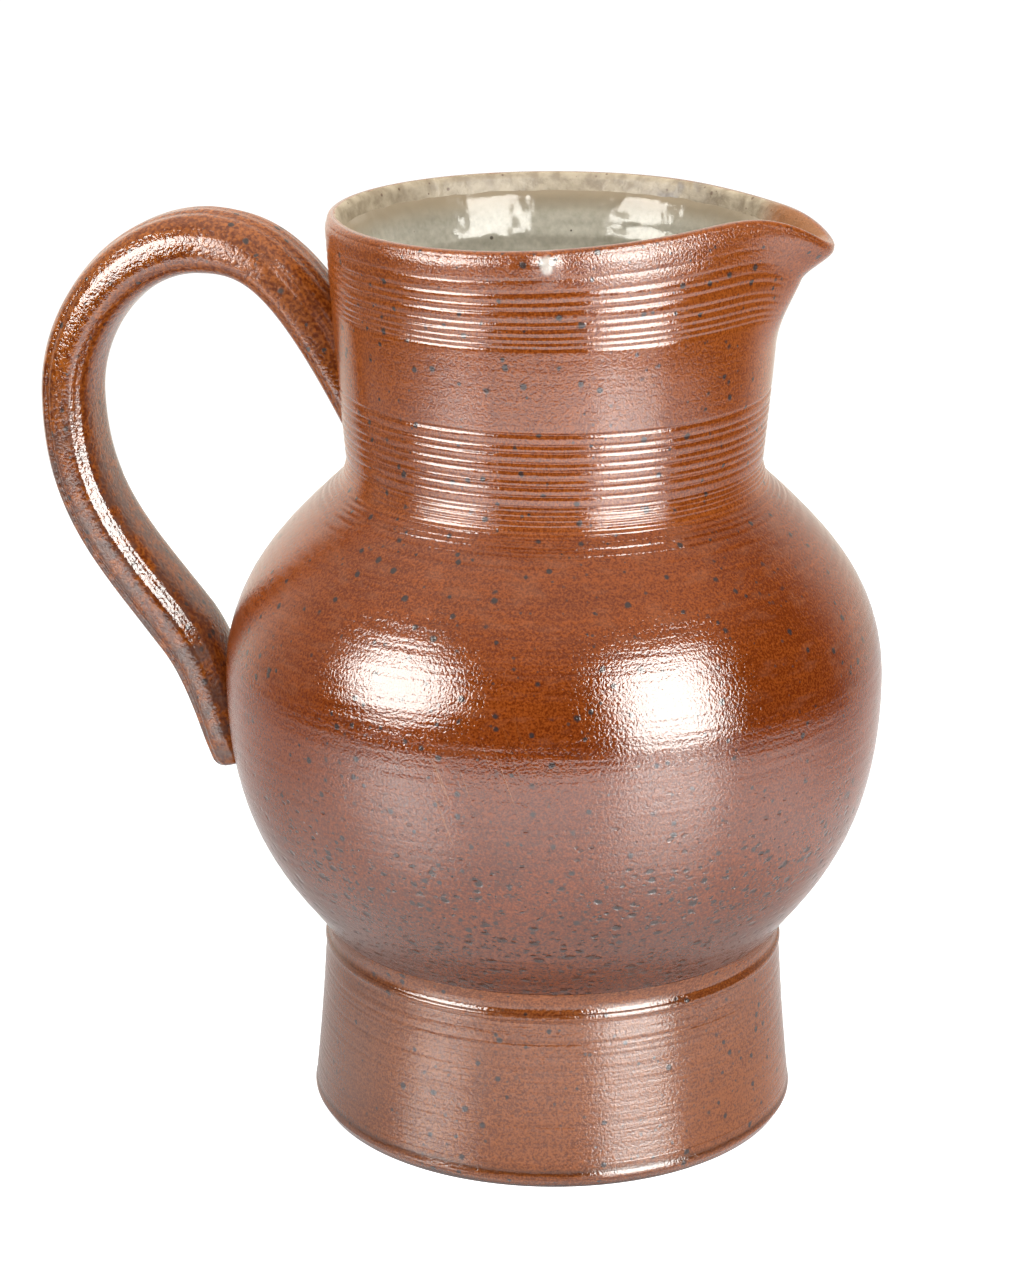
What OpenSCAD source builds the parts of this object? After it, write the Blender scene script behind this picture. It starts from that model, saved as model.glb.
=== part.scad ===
// Hand-thrown stoneware water pitcher: a flared foot, a round belly, a straight collar neck
// with two combed bands and a pulled spout, a ribbed strap handle and a glaze lining.
// It stands on Z = 0 about the Z axis. The spout points along +X and the handle along -X.

/* [Foot] */
// Height of the foot ring, up to the seat of the belly
foot_h = 49; // [40:1:60]
// Radius of the foot ring above its bevel
foot_r = 66; // [63:0.5:72]
// Radius of the foot ring at its top edge
foot_top_r = 62.6; // [60:0.2:66]
// Thickness of the foot wall
foot_wall = 8; // [5:0.5:11]
// Height of the bevel round the bottom edge
foot_bevel_h = 5; // [2:0.5:8]
// Width of the bevel round the bottom edge
foot_bevel_w = 2; // [1:0.5:4]
// Width of the sloping ledge round the top of the foot
ledge_w = 1.2; // [0.6:0.2:2]

/* [Collar] */
// Height of the collar of clay that locks the belly to the foot
collar_h = 6; // [4:0.5:8]
// Thickness of the collar at its foot
collar_t = 5; // [3:0.5:8]
// Lean of the collar's outer face, out towards the belly
collar_lean = 1.6; // [0:0.2:4]

/* [Belly] */
// Radius of the belly at its widest
belly_r = 88.3; // [80:0.1:96]
// Height from the collar up to the widest point
belly_low_h = 67; // [58:1:80]
// Height from the widest point up to the neck
belly_up_h = 57; // [48:1:68]
// Thickness of the belly wall
belly_wall = 5.5; // [4:0.5:8]
// Thickness of the floor
floor_t = 8; // [5:0.5:12]
// Radius of the flat middle of the floor
floor_flat_r = 40; // [25:1:48]
// Slope of the belly where it leaves the collar, from level
belly_foot_slope = 52; // [46:1:66]
// Slope of the shoulder where it meets the neck, from level
shoulder_slope = 43; // [36:1:50]
// Number of scored rings round the shoulder
shoulder_rings = 5; // [0:1:7]
// Depth of the scored rings
shoulder_ring_d = 0.4; // [0.2:0.1:0.8]

/* [Neck] */
// Height of the neck, from the shoulder up to the rim
neck_h = 69; // [58:1:80]
// Radius of the neck where it stands on the shoulder
neck_base_r = 54.8; // [50:0.2:60]
// Radius of the rim
rim_r = 60; // [56:0.5:66]
// Swell of the neck beyond a straight taper
neck_swell = 0.4; // [0:0.1:1]
// Thickness of the neck wall at the shoulder
neck_wall = 5.5; // [4:0.5:7]
// Thickness of the neck wall where it is thickest, below the rim
thick_wall = 7.6; // [5.6:0.2:8.4]
// Depth of the thickest wall below the rim
thick_drop = 14; // [10:1:22]
// Thickness of the neck wall at the rim
rim_wall = 4; // [3:0.2:5.4]
// Height of the rounding of the rim
rim_round = 1.8; // [1:0.2:3]

/* [Combed bands] */
// Height of the lower band's first groove above the shoulder
low_band_z = 7.4; // [5:0.2:10]
// Number of grooves in the lower band
low_grooves = 8; // [4:1:9]
// Pitch of the lower band
low_pitch = 2.3; // [1.8:0.1:2.8]
// Depth of the lower band's grooves
low_groove_d = 0.6; // [0.2:0.1:1]
// Depth of the upper band's first groove below the rim
high_band_z = 7; // [5:0.2:9]
// Number of grooves in the upper band
high_grooves = 9; // [4:1:10]
// Pitch of the upper band at its top
high_pitch = 3; // [2.4:0.1:3.2]
// Share of its pitch that each lower step of the upper band keeps
high_pitch_step = 0.89; // [0.85:0.01:0.95]
// Depth of the upper band's grooves
high_groove_d = 0.5; // [0.2:0.1:1]

/* [Spout] */
// Reach of the pulled lip beyond the rim's circle
spout_reach = 12.6; // [8:0.2:18]
// Half angle over which the lip is pulled
spout_spread = 12.4; // [9:0.2:16]
// Drop of the lip's tip below the rim
spout_dip = 6.4; // [2:0.2:10]
// Height of the lip's blunt front edge
lip_h = 6; // [4:0.5:8]
// Height over which the pull fades below the lip
pull_fade = 8; // [6:0.5:11]
// Pinch of the rim beside the lip
pinch = 3; // [0:0.2:5]
// Angle of the pinch from the lip's tip
pinch_turn = 48; // [40:1:60]
// Rise of the rim beside the lip on the -Y side
rim_lift = 3.4; // [0:0.2:5]

/* [Handle] */
// Height of the middle of the strap's root above the neck's foot
root_rise = 30; // [26:1:36]
// Slope of the strap's root against the neck, from level
root_slope = 63; // [58:1:68]
// Height of the middle of the strap's crown below the rim
crown_drop = 11.5; // [8:0.5:16]
// Distance of the crown's middle from the neck's wall
crown_out = 35; // [30:1:42]
// Distance of the strap's outermost middle from the belly's widest radius
grip_out = 46; // [40:1:54]
// Height of the strap's outermost middle above the belly's widest point
grip_rise = 70; // [62:1:76]
// Distance of the strap's middle from the belly where it bends in
bend_out = 16; // [13:0.5:20]
// Height of that bend above the belly's widest point
bend_rise = 6; // [2:1:12]
// Height of the cut lower end below the belly's widest point
tail_drop = 30.5; // [24:0.5:36]
// Thickness of the strap at its root
root_t = 15.5; // [13:0.5:20]
// Thickness of the strap over the crown
crown_t = 17; // [14:0.5:19]
// Thickness of the strap in the grip
grip_t = 14.8; // [12:0.2:18]
// Thickness of the strap at the bend
bend_t = 16.5; // [13:0.5:19]
// Thickness of the strap's lower end, pressed on the belly
tail_t = 12.5; // [8:0.5:15]
// Width of the strap in the grip
grip_w = 24; // [18:1:30]
// Width of the strap's spread ends
spread_w = 27; // [20:1:34]
// Number of finger-drawn flutes round the strap
flutes = 8; // [6:1:9]
// Depth of the flutes
flute_d = 0.7; // [0.2:0.1:1]

/* [Lining] */
// Thickness of the glaze lining
lining_t = 0.6; // [0.4:0.1:1]
// Depth of the lining's edge below the rim
lining_drop = 6.5; // [4:0.5:12]

/* [Hidden] */
$fn = 128;
clay = "#8a4a26";
pale_clay = "#96694f";
grey_glaze = "#a9a793";

// Heights of the joints, from the table up
collar_z = foot_h + collar_h;
belly_z = collar_z + belly_low_h;
neck_z = belly_z + belly_up_h;
rim_z = neck_z + neck_h;

// Radii shared by the pieces of the foot joint and by the belly and the neck
seat_r = foot_top_r - ledge_w;
boss_r = seat_r - collar_t;
belly_foot_r = seat_r + collar_lean;
throat_r = neck_base_r - neck_wall;

// Steps along each curve and round the turned pieces
curve_steps = 8;
turn_steps = 64;
lining_curve_steps = 4;
lining_neck_steps = 6;
plain_steps = 4;

function bez(p, t) =
    pow(1 - t, 3) * p[0] + 3 * pow(1 - t, 2) * t * p[1] + 3 * (1 - t) * t * t * p[2] + pow(t, 3) * p[3];
function bez_slope(p, t) =
    3 * pow(1 - t, 2) * (p[1] - p[0]) + 6 * (1 - t) * t * (p[2] - p[1]) + 3 * t * t * (p[3] - p[2]);
function unit(v) = v / norm(v);
function out_of(v) = [v[1], -v[0]] / norm(v);
function inset(p, t, depth) = bez(p, t) - depth * out_of(bez_slope(p, t));
function curve(p, depth = 0, from = 0, to = 1, steps = curve_steps) =
    [for (i = [0:steps]) inset(p, from + (to - from) * i / steps, depth)];
function reversed(list) = [for (i = [len(list) - 1:-1:0]) list[i]];
function toward(angle, length) = length * [cos(angle), sin(angle)];
function hump(x, spread) = exp(-pow(x / spread, 2));
function ease(x) = x < 0 ? 0 : x > 1 ? 1 : x * x * (3 - 2 * x);

// Foot: a flared wall with a bevel below and a sloping ledge above.
// The shares say how much of the flare the wall has lost a third of the way up and two thirds.
foot_flare = foot_r - foot_top_r;
foot_flare_lost = [0.47, 0.82];
foot_wall_h = foot_h - ledge_w - foot_bevel_h;
foot_curve = [
    [foot_r, foot_bevel_h],
    [foot_r - foot_flare * foot_flare_lost[0], foot_bevel_h + foot_wall_h / 3],
    [foot_r - foot_flare * foot_flare_lost[1], foot_bevel_h + foot_wall_h * 2 / 3],
    [foot_top_r, foot_h - ledge_w]
];

module foot_ring() {
    color(pale_clay)
    rotate_extrude()
    polygon(concat(
        [[foot_r - foot_wall - foot_bevel_w, 0], [foot_r - foot_bevel_w, 0]],
        curve(foot_curve),
        [[seat_r, foot_h], [foot_top_r - foot_wall, foot_h]]
    ));
}

// Collar: a ring of clay in the angle between the foot and the belly
module foot_collar() {
    color(pale_clay)
    rotate_extrude()
    polygon([
        [boss_r, foot_h],
        [seat_r, foot_h],
        [belly_foot_r, collar_z],
        [boss_r, collar_z]
    ]);
}

// Belly: two curves that meet at the widest point, with rings scored round the shoulder.
// The pulls are the lengths of each curve's two end tangents, as shares of its height.
belly_low_pulls = [0.26, 0.58];
belly_up_pulls = [0.45, 0.46];
belly_low = [
    [belly_foot_r, collar_z],
    [belly_foot_r, collar_z] + toward(belly_foot_slope, belly_low_h * belly_low_pulls[0]),
    [belly_r, belly_z - belly_low_h * belly_low_pulls[1]],
    [belly_r, belly_z]
];
belly_up = [
    [belly_r, belly_z],
    [belly_r, belly_z + belly_up_h * belly_up_pulls[0]],
    [neck_base_r, neck_z] + toward(-shoulder_slope, belly_up_h * belly_up_pulls[1]),
    [neck_base_r, neck_z]
];
curve_lap = 0.1;
scored_from = 0.82;
ring_step = (1 - scored_from) / (shoulder_rings + 1);
ring_half = ring_step * 0.3;
function scored_ring(t) = [
    bez(belly_up, t - ring_half),
    inset(belly_up, t, shoulder_ring_d),
    bez(belly_up, t + ring_half)
];
belly_outline = concat(
    curve(belly_low),
    curve(belly_up, from = curve_lap, to = scored_from),
    [for (i = [1:1:shoulder_rings], p = scored_ring(scored_from + i * ring_step)) p],
    [[neck_base_r, neck_z]]
);

// Inner outline of the belly, at a depth of clay or of clay and lining
bowl_from = 0.3;
bowl_floor_pull = 14;
bowl_side_pull = 12;
inside_to = 0.95;
function bowl_curve(depth, floor_z) =
    let (side = inset(belly_low, bowl_from, depth), rise = unit(bez_slope(belly_low, bowl_from)))
    [[floor_flat_r, floor_z], [floor_flat_r + bowl_floor_pull, floor_z], side - bowl_side_pull * rise, side];
function belly_inside(lining, steps) =
    let (depth = belly_wall + lining, floor_z = foot_h + floor_t + lining)
    concat(
        [for (i = [0:steps]) bez(bowl_curve(depth, floor_z), i / steps)],
        curve(belly_low, depth, from = bowl_from + curve_lap, steps = steps),
        curve(belly_up, depth, from = curve_lap, to = inside_to, steps = steps)
    );

module belly() {
    color(clay)
    rotate_extrude()
    polygon(concat(
        [[0, foot_h], [boss_r, foot_h], [boss_r, collar_z]],
        belly_outline,
        [[throat_r, neck_z]],
        reversed(belly_inside(0, curve_steps)),
        [[0, foot_h + floor_t]]
    ));
}

// Neck: its radius and wall at a height
function neck_r(z) =
    let (s = (z - neck_z) / neck_h)
    neck_base_r + (rim_r - neck_base_r) * s + 4 * neck_swell * s * (1 - s);
function wall_t(z) =
    let (drop = rim_z - z, low = lookup(drop, [[thick_drop, thick_wall], [neck_h, neck_wall]]))
    rim_wall + (low - rim_wall) * ease(drop / thick_drop);

// Pull of the spout at angle a from its tip, height of the rim there, and fading of the upper combs
pinch_spread = 18;
lift_spread = 34;
dip_spread = 10;
comb_spread = 24;
inner_fade = pull_fade + 2;
lift_from = neck_z + neck_h / 2;
function pull(a) =
    spout_reach * hump(a, spout_spread) - pinch * hump(abs(a) - pinch_turn, pinch_spread);
function rim_rise(a) = rim_lift * hump(a + pinch_turn, lift_spread) - spout_dip * hump(a, dip_spread);
function comb_fade(z, a) = z > lift_from ? 1 - hump(a, comb_spread) : 1;

// A point of the neck at angle a: its height, the depth of a groove there, its share of the way
// from the outer wall to the inner one and the thickness of lining in front of it
function outer_wall(z, a) = neck_r(z) + pull(a) * exp(-max(0, rim_z - lip_h - z) / pull_fade);
function inner_wall(z, a) = neck_r(z) - wall_t(z) + pull(a) * exp(-(rim_z - z) / inner_fade);
function neck_point(z, groove, share, lining, a) =
    let (
        r = (1 - share) * (outer_wall(z, a) - groove * comb_fade(z, a)) + share * inner_wall(z, a) - lining,
        lifted = z + rim_rise(a) * ease((z - lift_from) / (rim_z - lift_from))
    )
    [r * cos(a), r * sin(a), lifted];

// Heights at which the lining is drawn up the neck
lining_top_z = rim_z - lining_drop;
function lining_level(i) = neck_z + (lining_top_z - neck_z) * i / lining_neck_steps;

// Combed bands: a groove and a crest for each step, each as height, groove depth and share
low_start = neck_z + low_band_z;
high_start = rim_z - high_band_z;
function high_groove_z(i) =
    high_start - high_pitch * (1 - pow(high_pitch_step, i)) / (1 - high_pitch_step);
low_band = [for (i = [0:low_grooves - 1], half = [0, 1])
    [low_start + (i + half / 2) * low_pitch, half == 0 ? low_groove_d : 0, 0]];
high_band = [for (i = [high_grooves - 1:-1:0], half = [1, 0])
    [high_groove_z(i + half / 2), half == 0 ? high_groove_d : 0, 0]];
plain_from = low_start + low_grooves * low_pitch;
plain_to = high_groove_z(high_grooves);
outer_rings = concat(
    [[neck_z, 0, 0], [low_start - low_pitch / 2, 0, 0]],
    low_band,
    [for (i = [0:plain_steps]) [plain_from + (plain_to - plain_from) * i / plain_steps, 0, 0]],
    high_band
);
rim_rings = [for (turn = [0:45:180]) [rim_z - rim_round * (1 - sin(turn)), 0, (1 - cos(turn)) / 2]];
inner_rings = concat(
    [[(rim_z - rim_round + lining_top_z) / 2, 0, 1]],
    [for (i = [lining_neck_steps:-1:0]) [lining_level(i), 0, 1]]
);

// A skin over rings of points: each ring joins the next, and the ends join each other or are capped
module ring_skin(rings, looped) {
    n = len(rings);
    m = len(rings[0]);
    polyhedron(
        points = [for (ring = rings, p = ring) p],
        faces = concat(
            [for (i = [0:looped ? n - 1 : n - 2], j = [0:m - 1], half = [0, 1])
                let (a = i * m, b = (i + 1) % n * m, k = (j + 1) % m)
                half == 0 ? [a + j, b + k, a + k] : [a + j, b + j, b + k]],
            looped ? [] : [[for (j = [0:m - 1]) j]],
            looped ? [] : [[for (j = [m - 1:-1:0]) (n - 1) * m + j]]
        ),
        convexity = 8
    );
}

function turned(spec, lining = 0) = [for (j = [0:turn_steps - 1])
    let (turn = 360 * j / turn_steps, a = turn > 180 ? turn - 360 : turn)
    neck_point(spec[0], spec[1], spec[2], lining, a)];
function revolved(p) = [for (j = [0:turn_steps - 1])
    let (a = 360 * j / turn_steps)
    [p[0] * cos(a), p[0] * sin(a), p[1]]];

module neck() {
    color(clay)
    ring_skin([for (spec = concat(outer_rings, rim_rings, inner_rings)) turned(spec)], looped = true);
}

// Handle: a strap from the neck over the crown and down the grip to the belly.
// Its root starts inside the neck's wall, and both ends are trimmed to what they are pressed on.
function belly_out(z) = lookup(z, [for (p = belly_outline) [p[1], p[0]]]);
root_bury = 30;
root_z = neck_z + root_rise;
root = [-neck_r(root_z), root_z] + toward(-root_slope, root_bury);
crown_z = rim_z - crown_drop;
crown = [-neck_r(crown_z) - crown_out, crown_z];
grip = [-belly_r - grip_out, belly_z + grip_rise];
bend_z = belly_z + bend_rise;
bend = [-belly_out(bend_z) - bend_out, bend_z];
tail_z = belly_z - tail_drop;
tail_sink = 0.38;
tail = [-belly_out(tail_z) - tail_t * tail_sink, tail_z];

// Lengths of the path's tangents before and after each of its points, and its slopes low down
root_pull = 50;
crown_pulls = [18, 20];
grip_pulls = [24, 30];
bend_pulls = [28, 12];
tail_pull = 14;
bend_slope = 52;
tail_slope = 72;
strap_path = [
    [root, root + toward(180 - root_slope, root_pull), crown + [crown_pulls[0], 0], crown],
    [crown, crown - [crown_pulls[1], 0], grip + [0, grip_pulls[0]], grip],
    [grip, grip - [0, grip_pulls[1]], bend + toward(180 - bend_slope, bend_pulls[0]), bend],
    [bend, bend + toward(-bend_slope, bend_pulls[1]), tail + toward(180 - tail_slope, tail_pull), tail]
];
path_steps = 11;

// Thickness and width of the strap along the path, which gains 1 at each of its points
root_to = 0.6;
tail_from = 3.8;
tail_taper = [0.95, 0.9];
strap_size = [
    [0, [root_t, spread_w]],
    [root_to, [root_t, spread_w]],
    [1, [crown_t, grip_w]],
    [2, [grip_t, grip_w]],
    [3, [bend_t, grip_w]],
    [tail_from, [tail_t, spread_w]],
    [4, [tail_t * tail_taper[0], spread_w * tail_taper[1]]]
];
function size_at(s, k) = lookup(s, [for (row = strap_size) [row[0], row[1][k]]]);

// Section of the strap: a squared oval with a drawn flute at every third point
flute_points = 3;
section_steps = flutes * flute_points;
section_power = 0.78;
function squared(v) = sign(v) * pow(abs(v), section_power);
function strap_ring(s) =
    let (
        leg = min(floor(s), len(strap_path) - 1),
        middle = bez(strap_path[leg], s - leg),
        side = out_of(bez_slope(strap_path[leg], s - leg)),
        t = size_at(s, 0) / 2,
        w = size_at(s, 1) / 2
    )
    [for (j = [0:section_steps - 1])
        let (
            a = 360 * (j + 0.5) / section_steps,
            flute = j % flute_points == 1 ? flute_d : 0,
            off = (t - flute) * squared(cos(a))
        )
        [middle[0] + side[0] * off, (w - flute) * squared(sin(a)), middle[1] + side[1] * off]];

module strap() {
    ring_skin([for (i = [0:len(strap_path) * path_steps]) strap_ring(i / path_steps)], looped = false);
}

// The filled shapes of the neck, away from its spout, and of the belly
module neck_core() {
    rotate_extrude($fn = turn_steps)
    polygon(concat(
        [[0, neck_z]],
        [for (spec = outer_rings) [neck_r(spec[0]) - spec[1], spec[0]]],
        [[0, rim_z]]
    ));
}

module belly_core() {
    rotate_extrude()
    polygon(concat([[0, collar_z]], belly_outline, [[0, neck_z]]));
}

module handle() {
    color(clay)
    difference() {
        strap();
        neck_core();
        belly_core();
    }
}

// Lining: a skin of glaze on the inside of the belly and up the neck, and back down its own face
function lining_face(depth) = concat(
    [for (p = belly_inside(depth, lining_curve_steps)) revolved(p)],
    [for (i = [0:lining_neck_steps]) turned([lining_level(i), 0, 1], depth)]
);

module lining() {
    color(grey_glaze)
    ring_skin(concat(lining_face(0), reversed(lining_face(lining_t))), looped = false);
}

foot_ring();
foot_collar();
belly();
neck();
handle();
lining();
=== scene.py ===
"""A hand-thrown stoneware water pitcher: its clay pieces, glazes, studio light and camera."""

import math

import bpy
import numpy as np
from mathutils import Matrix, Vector


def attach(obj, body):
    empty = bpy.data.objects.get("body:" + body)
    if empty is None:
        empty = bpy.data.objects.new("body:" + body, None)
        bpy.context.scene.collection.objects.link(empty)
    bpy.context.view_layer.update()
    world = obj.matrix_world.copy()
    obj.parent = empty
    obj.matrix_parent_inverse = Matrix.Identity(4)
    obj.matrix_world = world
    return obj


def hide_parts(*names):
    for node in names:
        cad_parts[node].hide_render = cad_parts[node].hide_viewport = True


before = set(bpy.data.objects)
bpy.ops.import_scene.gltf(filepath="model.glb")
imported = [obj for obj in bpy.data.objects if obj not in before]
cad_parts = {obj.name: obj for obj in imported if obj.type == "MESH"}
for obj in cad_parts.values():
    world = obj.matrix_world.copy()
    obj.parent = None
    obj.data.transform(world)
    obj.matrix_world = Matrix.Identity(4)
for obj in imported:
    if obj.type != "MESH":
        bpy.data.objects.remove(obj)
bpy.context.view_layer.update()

MM = 0.001
DEGREES = 180 / math.pi

# Sizes of the clay in millimetres and slopes in degrees, as the solids have them
FOOT_H, FOOT_R, FOOT_TOP_R, FOOT_WALL = 49.0, 66.0, 62.6, 8.0
FOOT_BEVEL_H, FOOT_BEVEL_W, LEDGE_W = 5.0, 2.0, 1.2
COLLAR_H, COLLAR_T, COLLAR_LEAN = 6.0, 5.0, 1.6
BELLY_R, BELLY_LOW_H, BELLY_UP_H, BELLY_WALL = 88.3, 67.0, 57.0, 5.5
FLOOR_T, FLOOR_FLAT_R, BELLY_FOOT_SLOPE, SHOULDER_SLOPE = 8.0, 40.0, 52.0, 43.0
NECK_H, NECK_BASE_R, RIM_R, NECK_SWELL = 69.0, 54.8, 60.0, 0.4
NECK_WALL, RIM_WALL, RIM_ROUND = 5.5, 4.0, 1.8
COLLAR_Z = FOOT_H + COLLAR_H
BELLY_Z = COLLAR_Z + BELLY_LOW_H
NECK_Z = BELLY_Z + BELLY_UP_H
RIM_Z = NECK_Z + NECK_H
SEAT_R = FOOT_TOP_R - LEDGE_W
BOSS_R = SEAT_R - COLLAR_T
BELLY_FOOT_R = SEAT_R + COLLAR_LEAN
THROAT_R = NECK_BASE_R - NECK_WALL
LIFT_FROM = NECK_Z + NECK_H / 2

# The scene's own sizes at the rim: where the lip and the spout start to fade below it, and their fades
LIP_FROM, LIP_FADE, SPOUT_FROM, SPOUT_FADE, INNER_FADE = 0.5, 11.3, 1.0, 33.4, 10.0

# The wall's thickest place and its drop, how far the rim keeps its thickness, and how the outside draws in
THICK_WALL, THICK_DROP, RIM_KEEPS = 7.2, 17.0, 1.0
RIM_IN, RIM_IN_DROP, RIM_IN_RUN = 0.6, 4.2, 2.4

# The poured lining: its thickness, its drop below the rim, and how far down its edge thins, wavers and browns
LINING_T, LINING_LEAST, LINING_DROP = 0.6, 0.05, 4.8
LINING_THINS, LINING_WAVERS, LINING_BROWNS = 5.0, 14.0, 9.0

# Comb grooves and their depths: the lower band by height above the shoulder, the upper by drop below the rim
LOW_COMB = (
    (7.4, 0.24), (9.8, 0.34), (11.8, 0.22), (14.1, 0.36),
    (16.2, 0.26), (18.8, 0.36), (20.8, 0.28), (23.7, 0.36),
)
HIGH_COMB = (
    (6.9, 0.18), (10.1, 0.28), (12.4, 0.20), (14.4, 0.36), (17.1, 0.26),
    (18.8, 0.36), (20.6, 0.24), (22.1, 0.30), (23.4, 0.24),
)
COMB_TOOTH = 0.44

# The upper band stops short of the spout by these angles, at its top groove and at its lowest
COMB_FADE = (32.0, 17.0)

# Finer lines by height and depth: at the joint of the neck and the shoulder, and round the turned foot
JOINT_LINES = ((-2.4, 0.14), (-1.3, 0.20), (-0.2, 0.15), (1.0, 0.22), (2.2, 0.16), (3.5, 0.20), (4.6, 0.14))
JOINT_TOOTH = 0.34
FOOT_LINES = (
    (43.6, 0.03), (38.6, 0.06), (36.9, 0.03), (33.2, 0.06), (29.4, 0.03),
    (26.8, 0.05), (21.5, 0.03), (17.8, 0.05), (11.6, 0.03),
)
FOOT_TOOTH = 0.42

# Rings scored round the shoulder: radius, depth and half width
SHOULDER_RINGS = (
    (55.3, 0.20, 0.28), (56.4, 0.26, 0.30), (57.6, 0.30, 0.32), (58.9, 0.26, 0.34), (60.2, 0.34, 0.36),
    (61.8, 0.24, 0.36), (64.2, 0.12, 0.40),
)
RINGS_FROM = BELLY_Z + 20


class Wire:
    """An output of a node. Arithmetic on it adds Math nodes to its tree."""

    def __init__(self, tree, socket):
        self.tree = tree
        self.socket = socket

    def math(self, operation, *others):
        return node(self.tree, "ShaderNodeMath", dict(enumerate((self, *others))), operation=operation)

    def __add__(self, other):
        return self.math("ADD", other)

    def __sub__(self, other):
        return self.math("SUBTRACT", other)

    def __rsub__(self, other):
        return (self * -1.0) + other

    def __mul__(self, other):
        return self.math("MULTIPLY", other)

    def __truediv__(self, other):
        return self.math("DIVIDE", other)


def plug(tree, socket, value):
    """Links a wire to a socket, or sets the socket to a plain value."""
    if isinstance(value, Wire):
        tree.links.new(value.socket, socket)
    elif isinstance(value, tuple) and socket.type == "RGBA":
        socket.default_value = (*value[:3], 1.0)
    else:
        socket.default_value = value


def node(tree, kind, inputs=None, out=0, **settings):
    """Adds a node, sets or links its inputs by name or number, and returns one of its outputs."""
    made = tree.nodes.new(kind)
    for name, value in settings.items():
        setattr(made, name, value)
    for name, value in (inputs or {}).items():
        if isinstance(name, int):
            socket = made.inputs[name]
        else:
            socket = next(s for s in made.inputs if s.name == name and s.enabled)
        plug(tree, socket, value)
    if isinstance(out, int):
        return Wire(tree, made.outputs[out])
    return Wire(tree, next(s for s in made.outputs if s.name == out and s.enabled))


def clamped(value):
    return node(value.tree, "ShaderNodeClamp", {"Value": value})


def hump(value, spread):
    """A bell of height 1 about 0."""
    part = value / spread
    return (part * part * -1.0).math("EXPONENT")


def combine(x, y, z):
    return node(x.tree, "ShaderNodeCombineXYZ", {"X": x, "Y": y, "Z": z})


def split(vector):
    """The x, y and z of a vector."""
    apart = vector.tree.nodes.new("ShaderNodeSeparateXYZ")
    plug(vector.tree, apart.inputs[0], vector)
    return tuple(Wire(vector.tree, socket) for socket in apart.outputs)


def vectors(operation, a, b, out=0):
    return node(a.tree, "ShaderNodeVectorMath", {0: a, 1: b}, out, operation=operation)


def noise(place, scale, detail=2.0):
    return node(place.tree, "ShaderNodeTexNoise", {"Vector": place, "Scale": scale, "Detail": detail})


# Profiles of the turned walls

WALL_MARKS = ("pull", "rise", "comb", "near", "fade", "line", "edge", "inside")
SAME_POINT = 1e-5
NO_WAY = 1e-9


def bez(p, t):
    p = np.asarray(p, float)
    t = np.asarray(t, float)[..., None]
    return (1 - t) ** 3 * p[0] + 3 * (1 - t) ** 2 * t * p[1] + 3 * (1 - t) * t * t * p[2] + t ** 3 * p[3]


def bez_slope(p, t):
    p = np.asarray(p, float)
    t = np.asarray(t, float)[..., None]
    return 3 * (1 - t) ** 2 * (p[1] - p[0]) + 6 * (1 - t) * t * (p[2] - p[1]) + 3 * t * t * (p[3] - p[2])


def out_of(way):
    """The unit normal to the right of a way."""
    return np.stack([way[..., 1], -way[..., 0]], -1) / np.linalg.norm(way, axis=-1, keepdims=True)


def inset(p, t, depth):
    return bez(p, t) - depth * out_of(bez_slope(p, t))


def toward(angle, length):
    return length * np.array([math.cos(math.radians(angle)), math.sin(math.radians(angle))])


def ease(x):
    x = np.clip(x, 0, 1)
    return x * x * (3 - 2 * x)


def lay(points, step, snug=0.04):
    """Points along a line at an even step, with two close ones at its ends to keep its corners crisp."""
    points = np.asarray(points, float)
    run = np.concatenate([[0], np.cumsum(np.linalg.norm(np.diff(points, axis=0), axis=1))])
    stops = np.linspace(0, run[-1], max(2, int(math.ceil(run[-1] / step)) + 1))
    if run[-1] > 4 * snug:
        stops = np.sort(np.concatenate([stops, [snug, run[-1] - snug]]))
    return np.stack([np.interp(stops, run, points[:, k]) for k in (0, 1)], -1)


def softened(corners, radii, steps=7):
    """A line through the corners, each rounded over the length given for it."""
    corners = [np.asarray(c, float) for c in corners]
    line = [corners[0]]
    for before, here, after, radius in zip(corners, corners[1:], corners[2:], radii):
        a = here + (before - here) / np.linalg.norm(before - here) * radius
        b = here + (after - here) / np.linalg.norm(after - here) * radius
        for t in np.linspace(0, 1, steps):
            line.append((1 - t) ** 2 * a + 2 * (1 - t) * t * here + t * t * b)
    line.append(corners[-1])
    return np.array(line)


def cuts(places, rows):
    """The depth of rounded cuts at the places. Each has its middle, its depth and its half width."""
    return sum(deep * np.exp(-((places - at) / half) ** 2) for at, deep, half in rows)


def grooves(places, lines, tooth):
    """The depth of a row of grooves that were cut by one tooth. Each has its middle and its depth."""
    return cuts(places, [(at, deep, tooth) for at, deep in lines])


def stretch(points, step, **marks):
    """One stretch of a profile: its points, and its marks as numbers or as rules of radius and height."""
    points = lay(points, step)
    rows = {"points": points}
    for name in WALL_MARKS:
        mark = marks.get(name, 0.0)
        rows[name] = mark(points) if callable(mark) else np.full(len(points), float(mark))
    return rows


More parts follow.
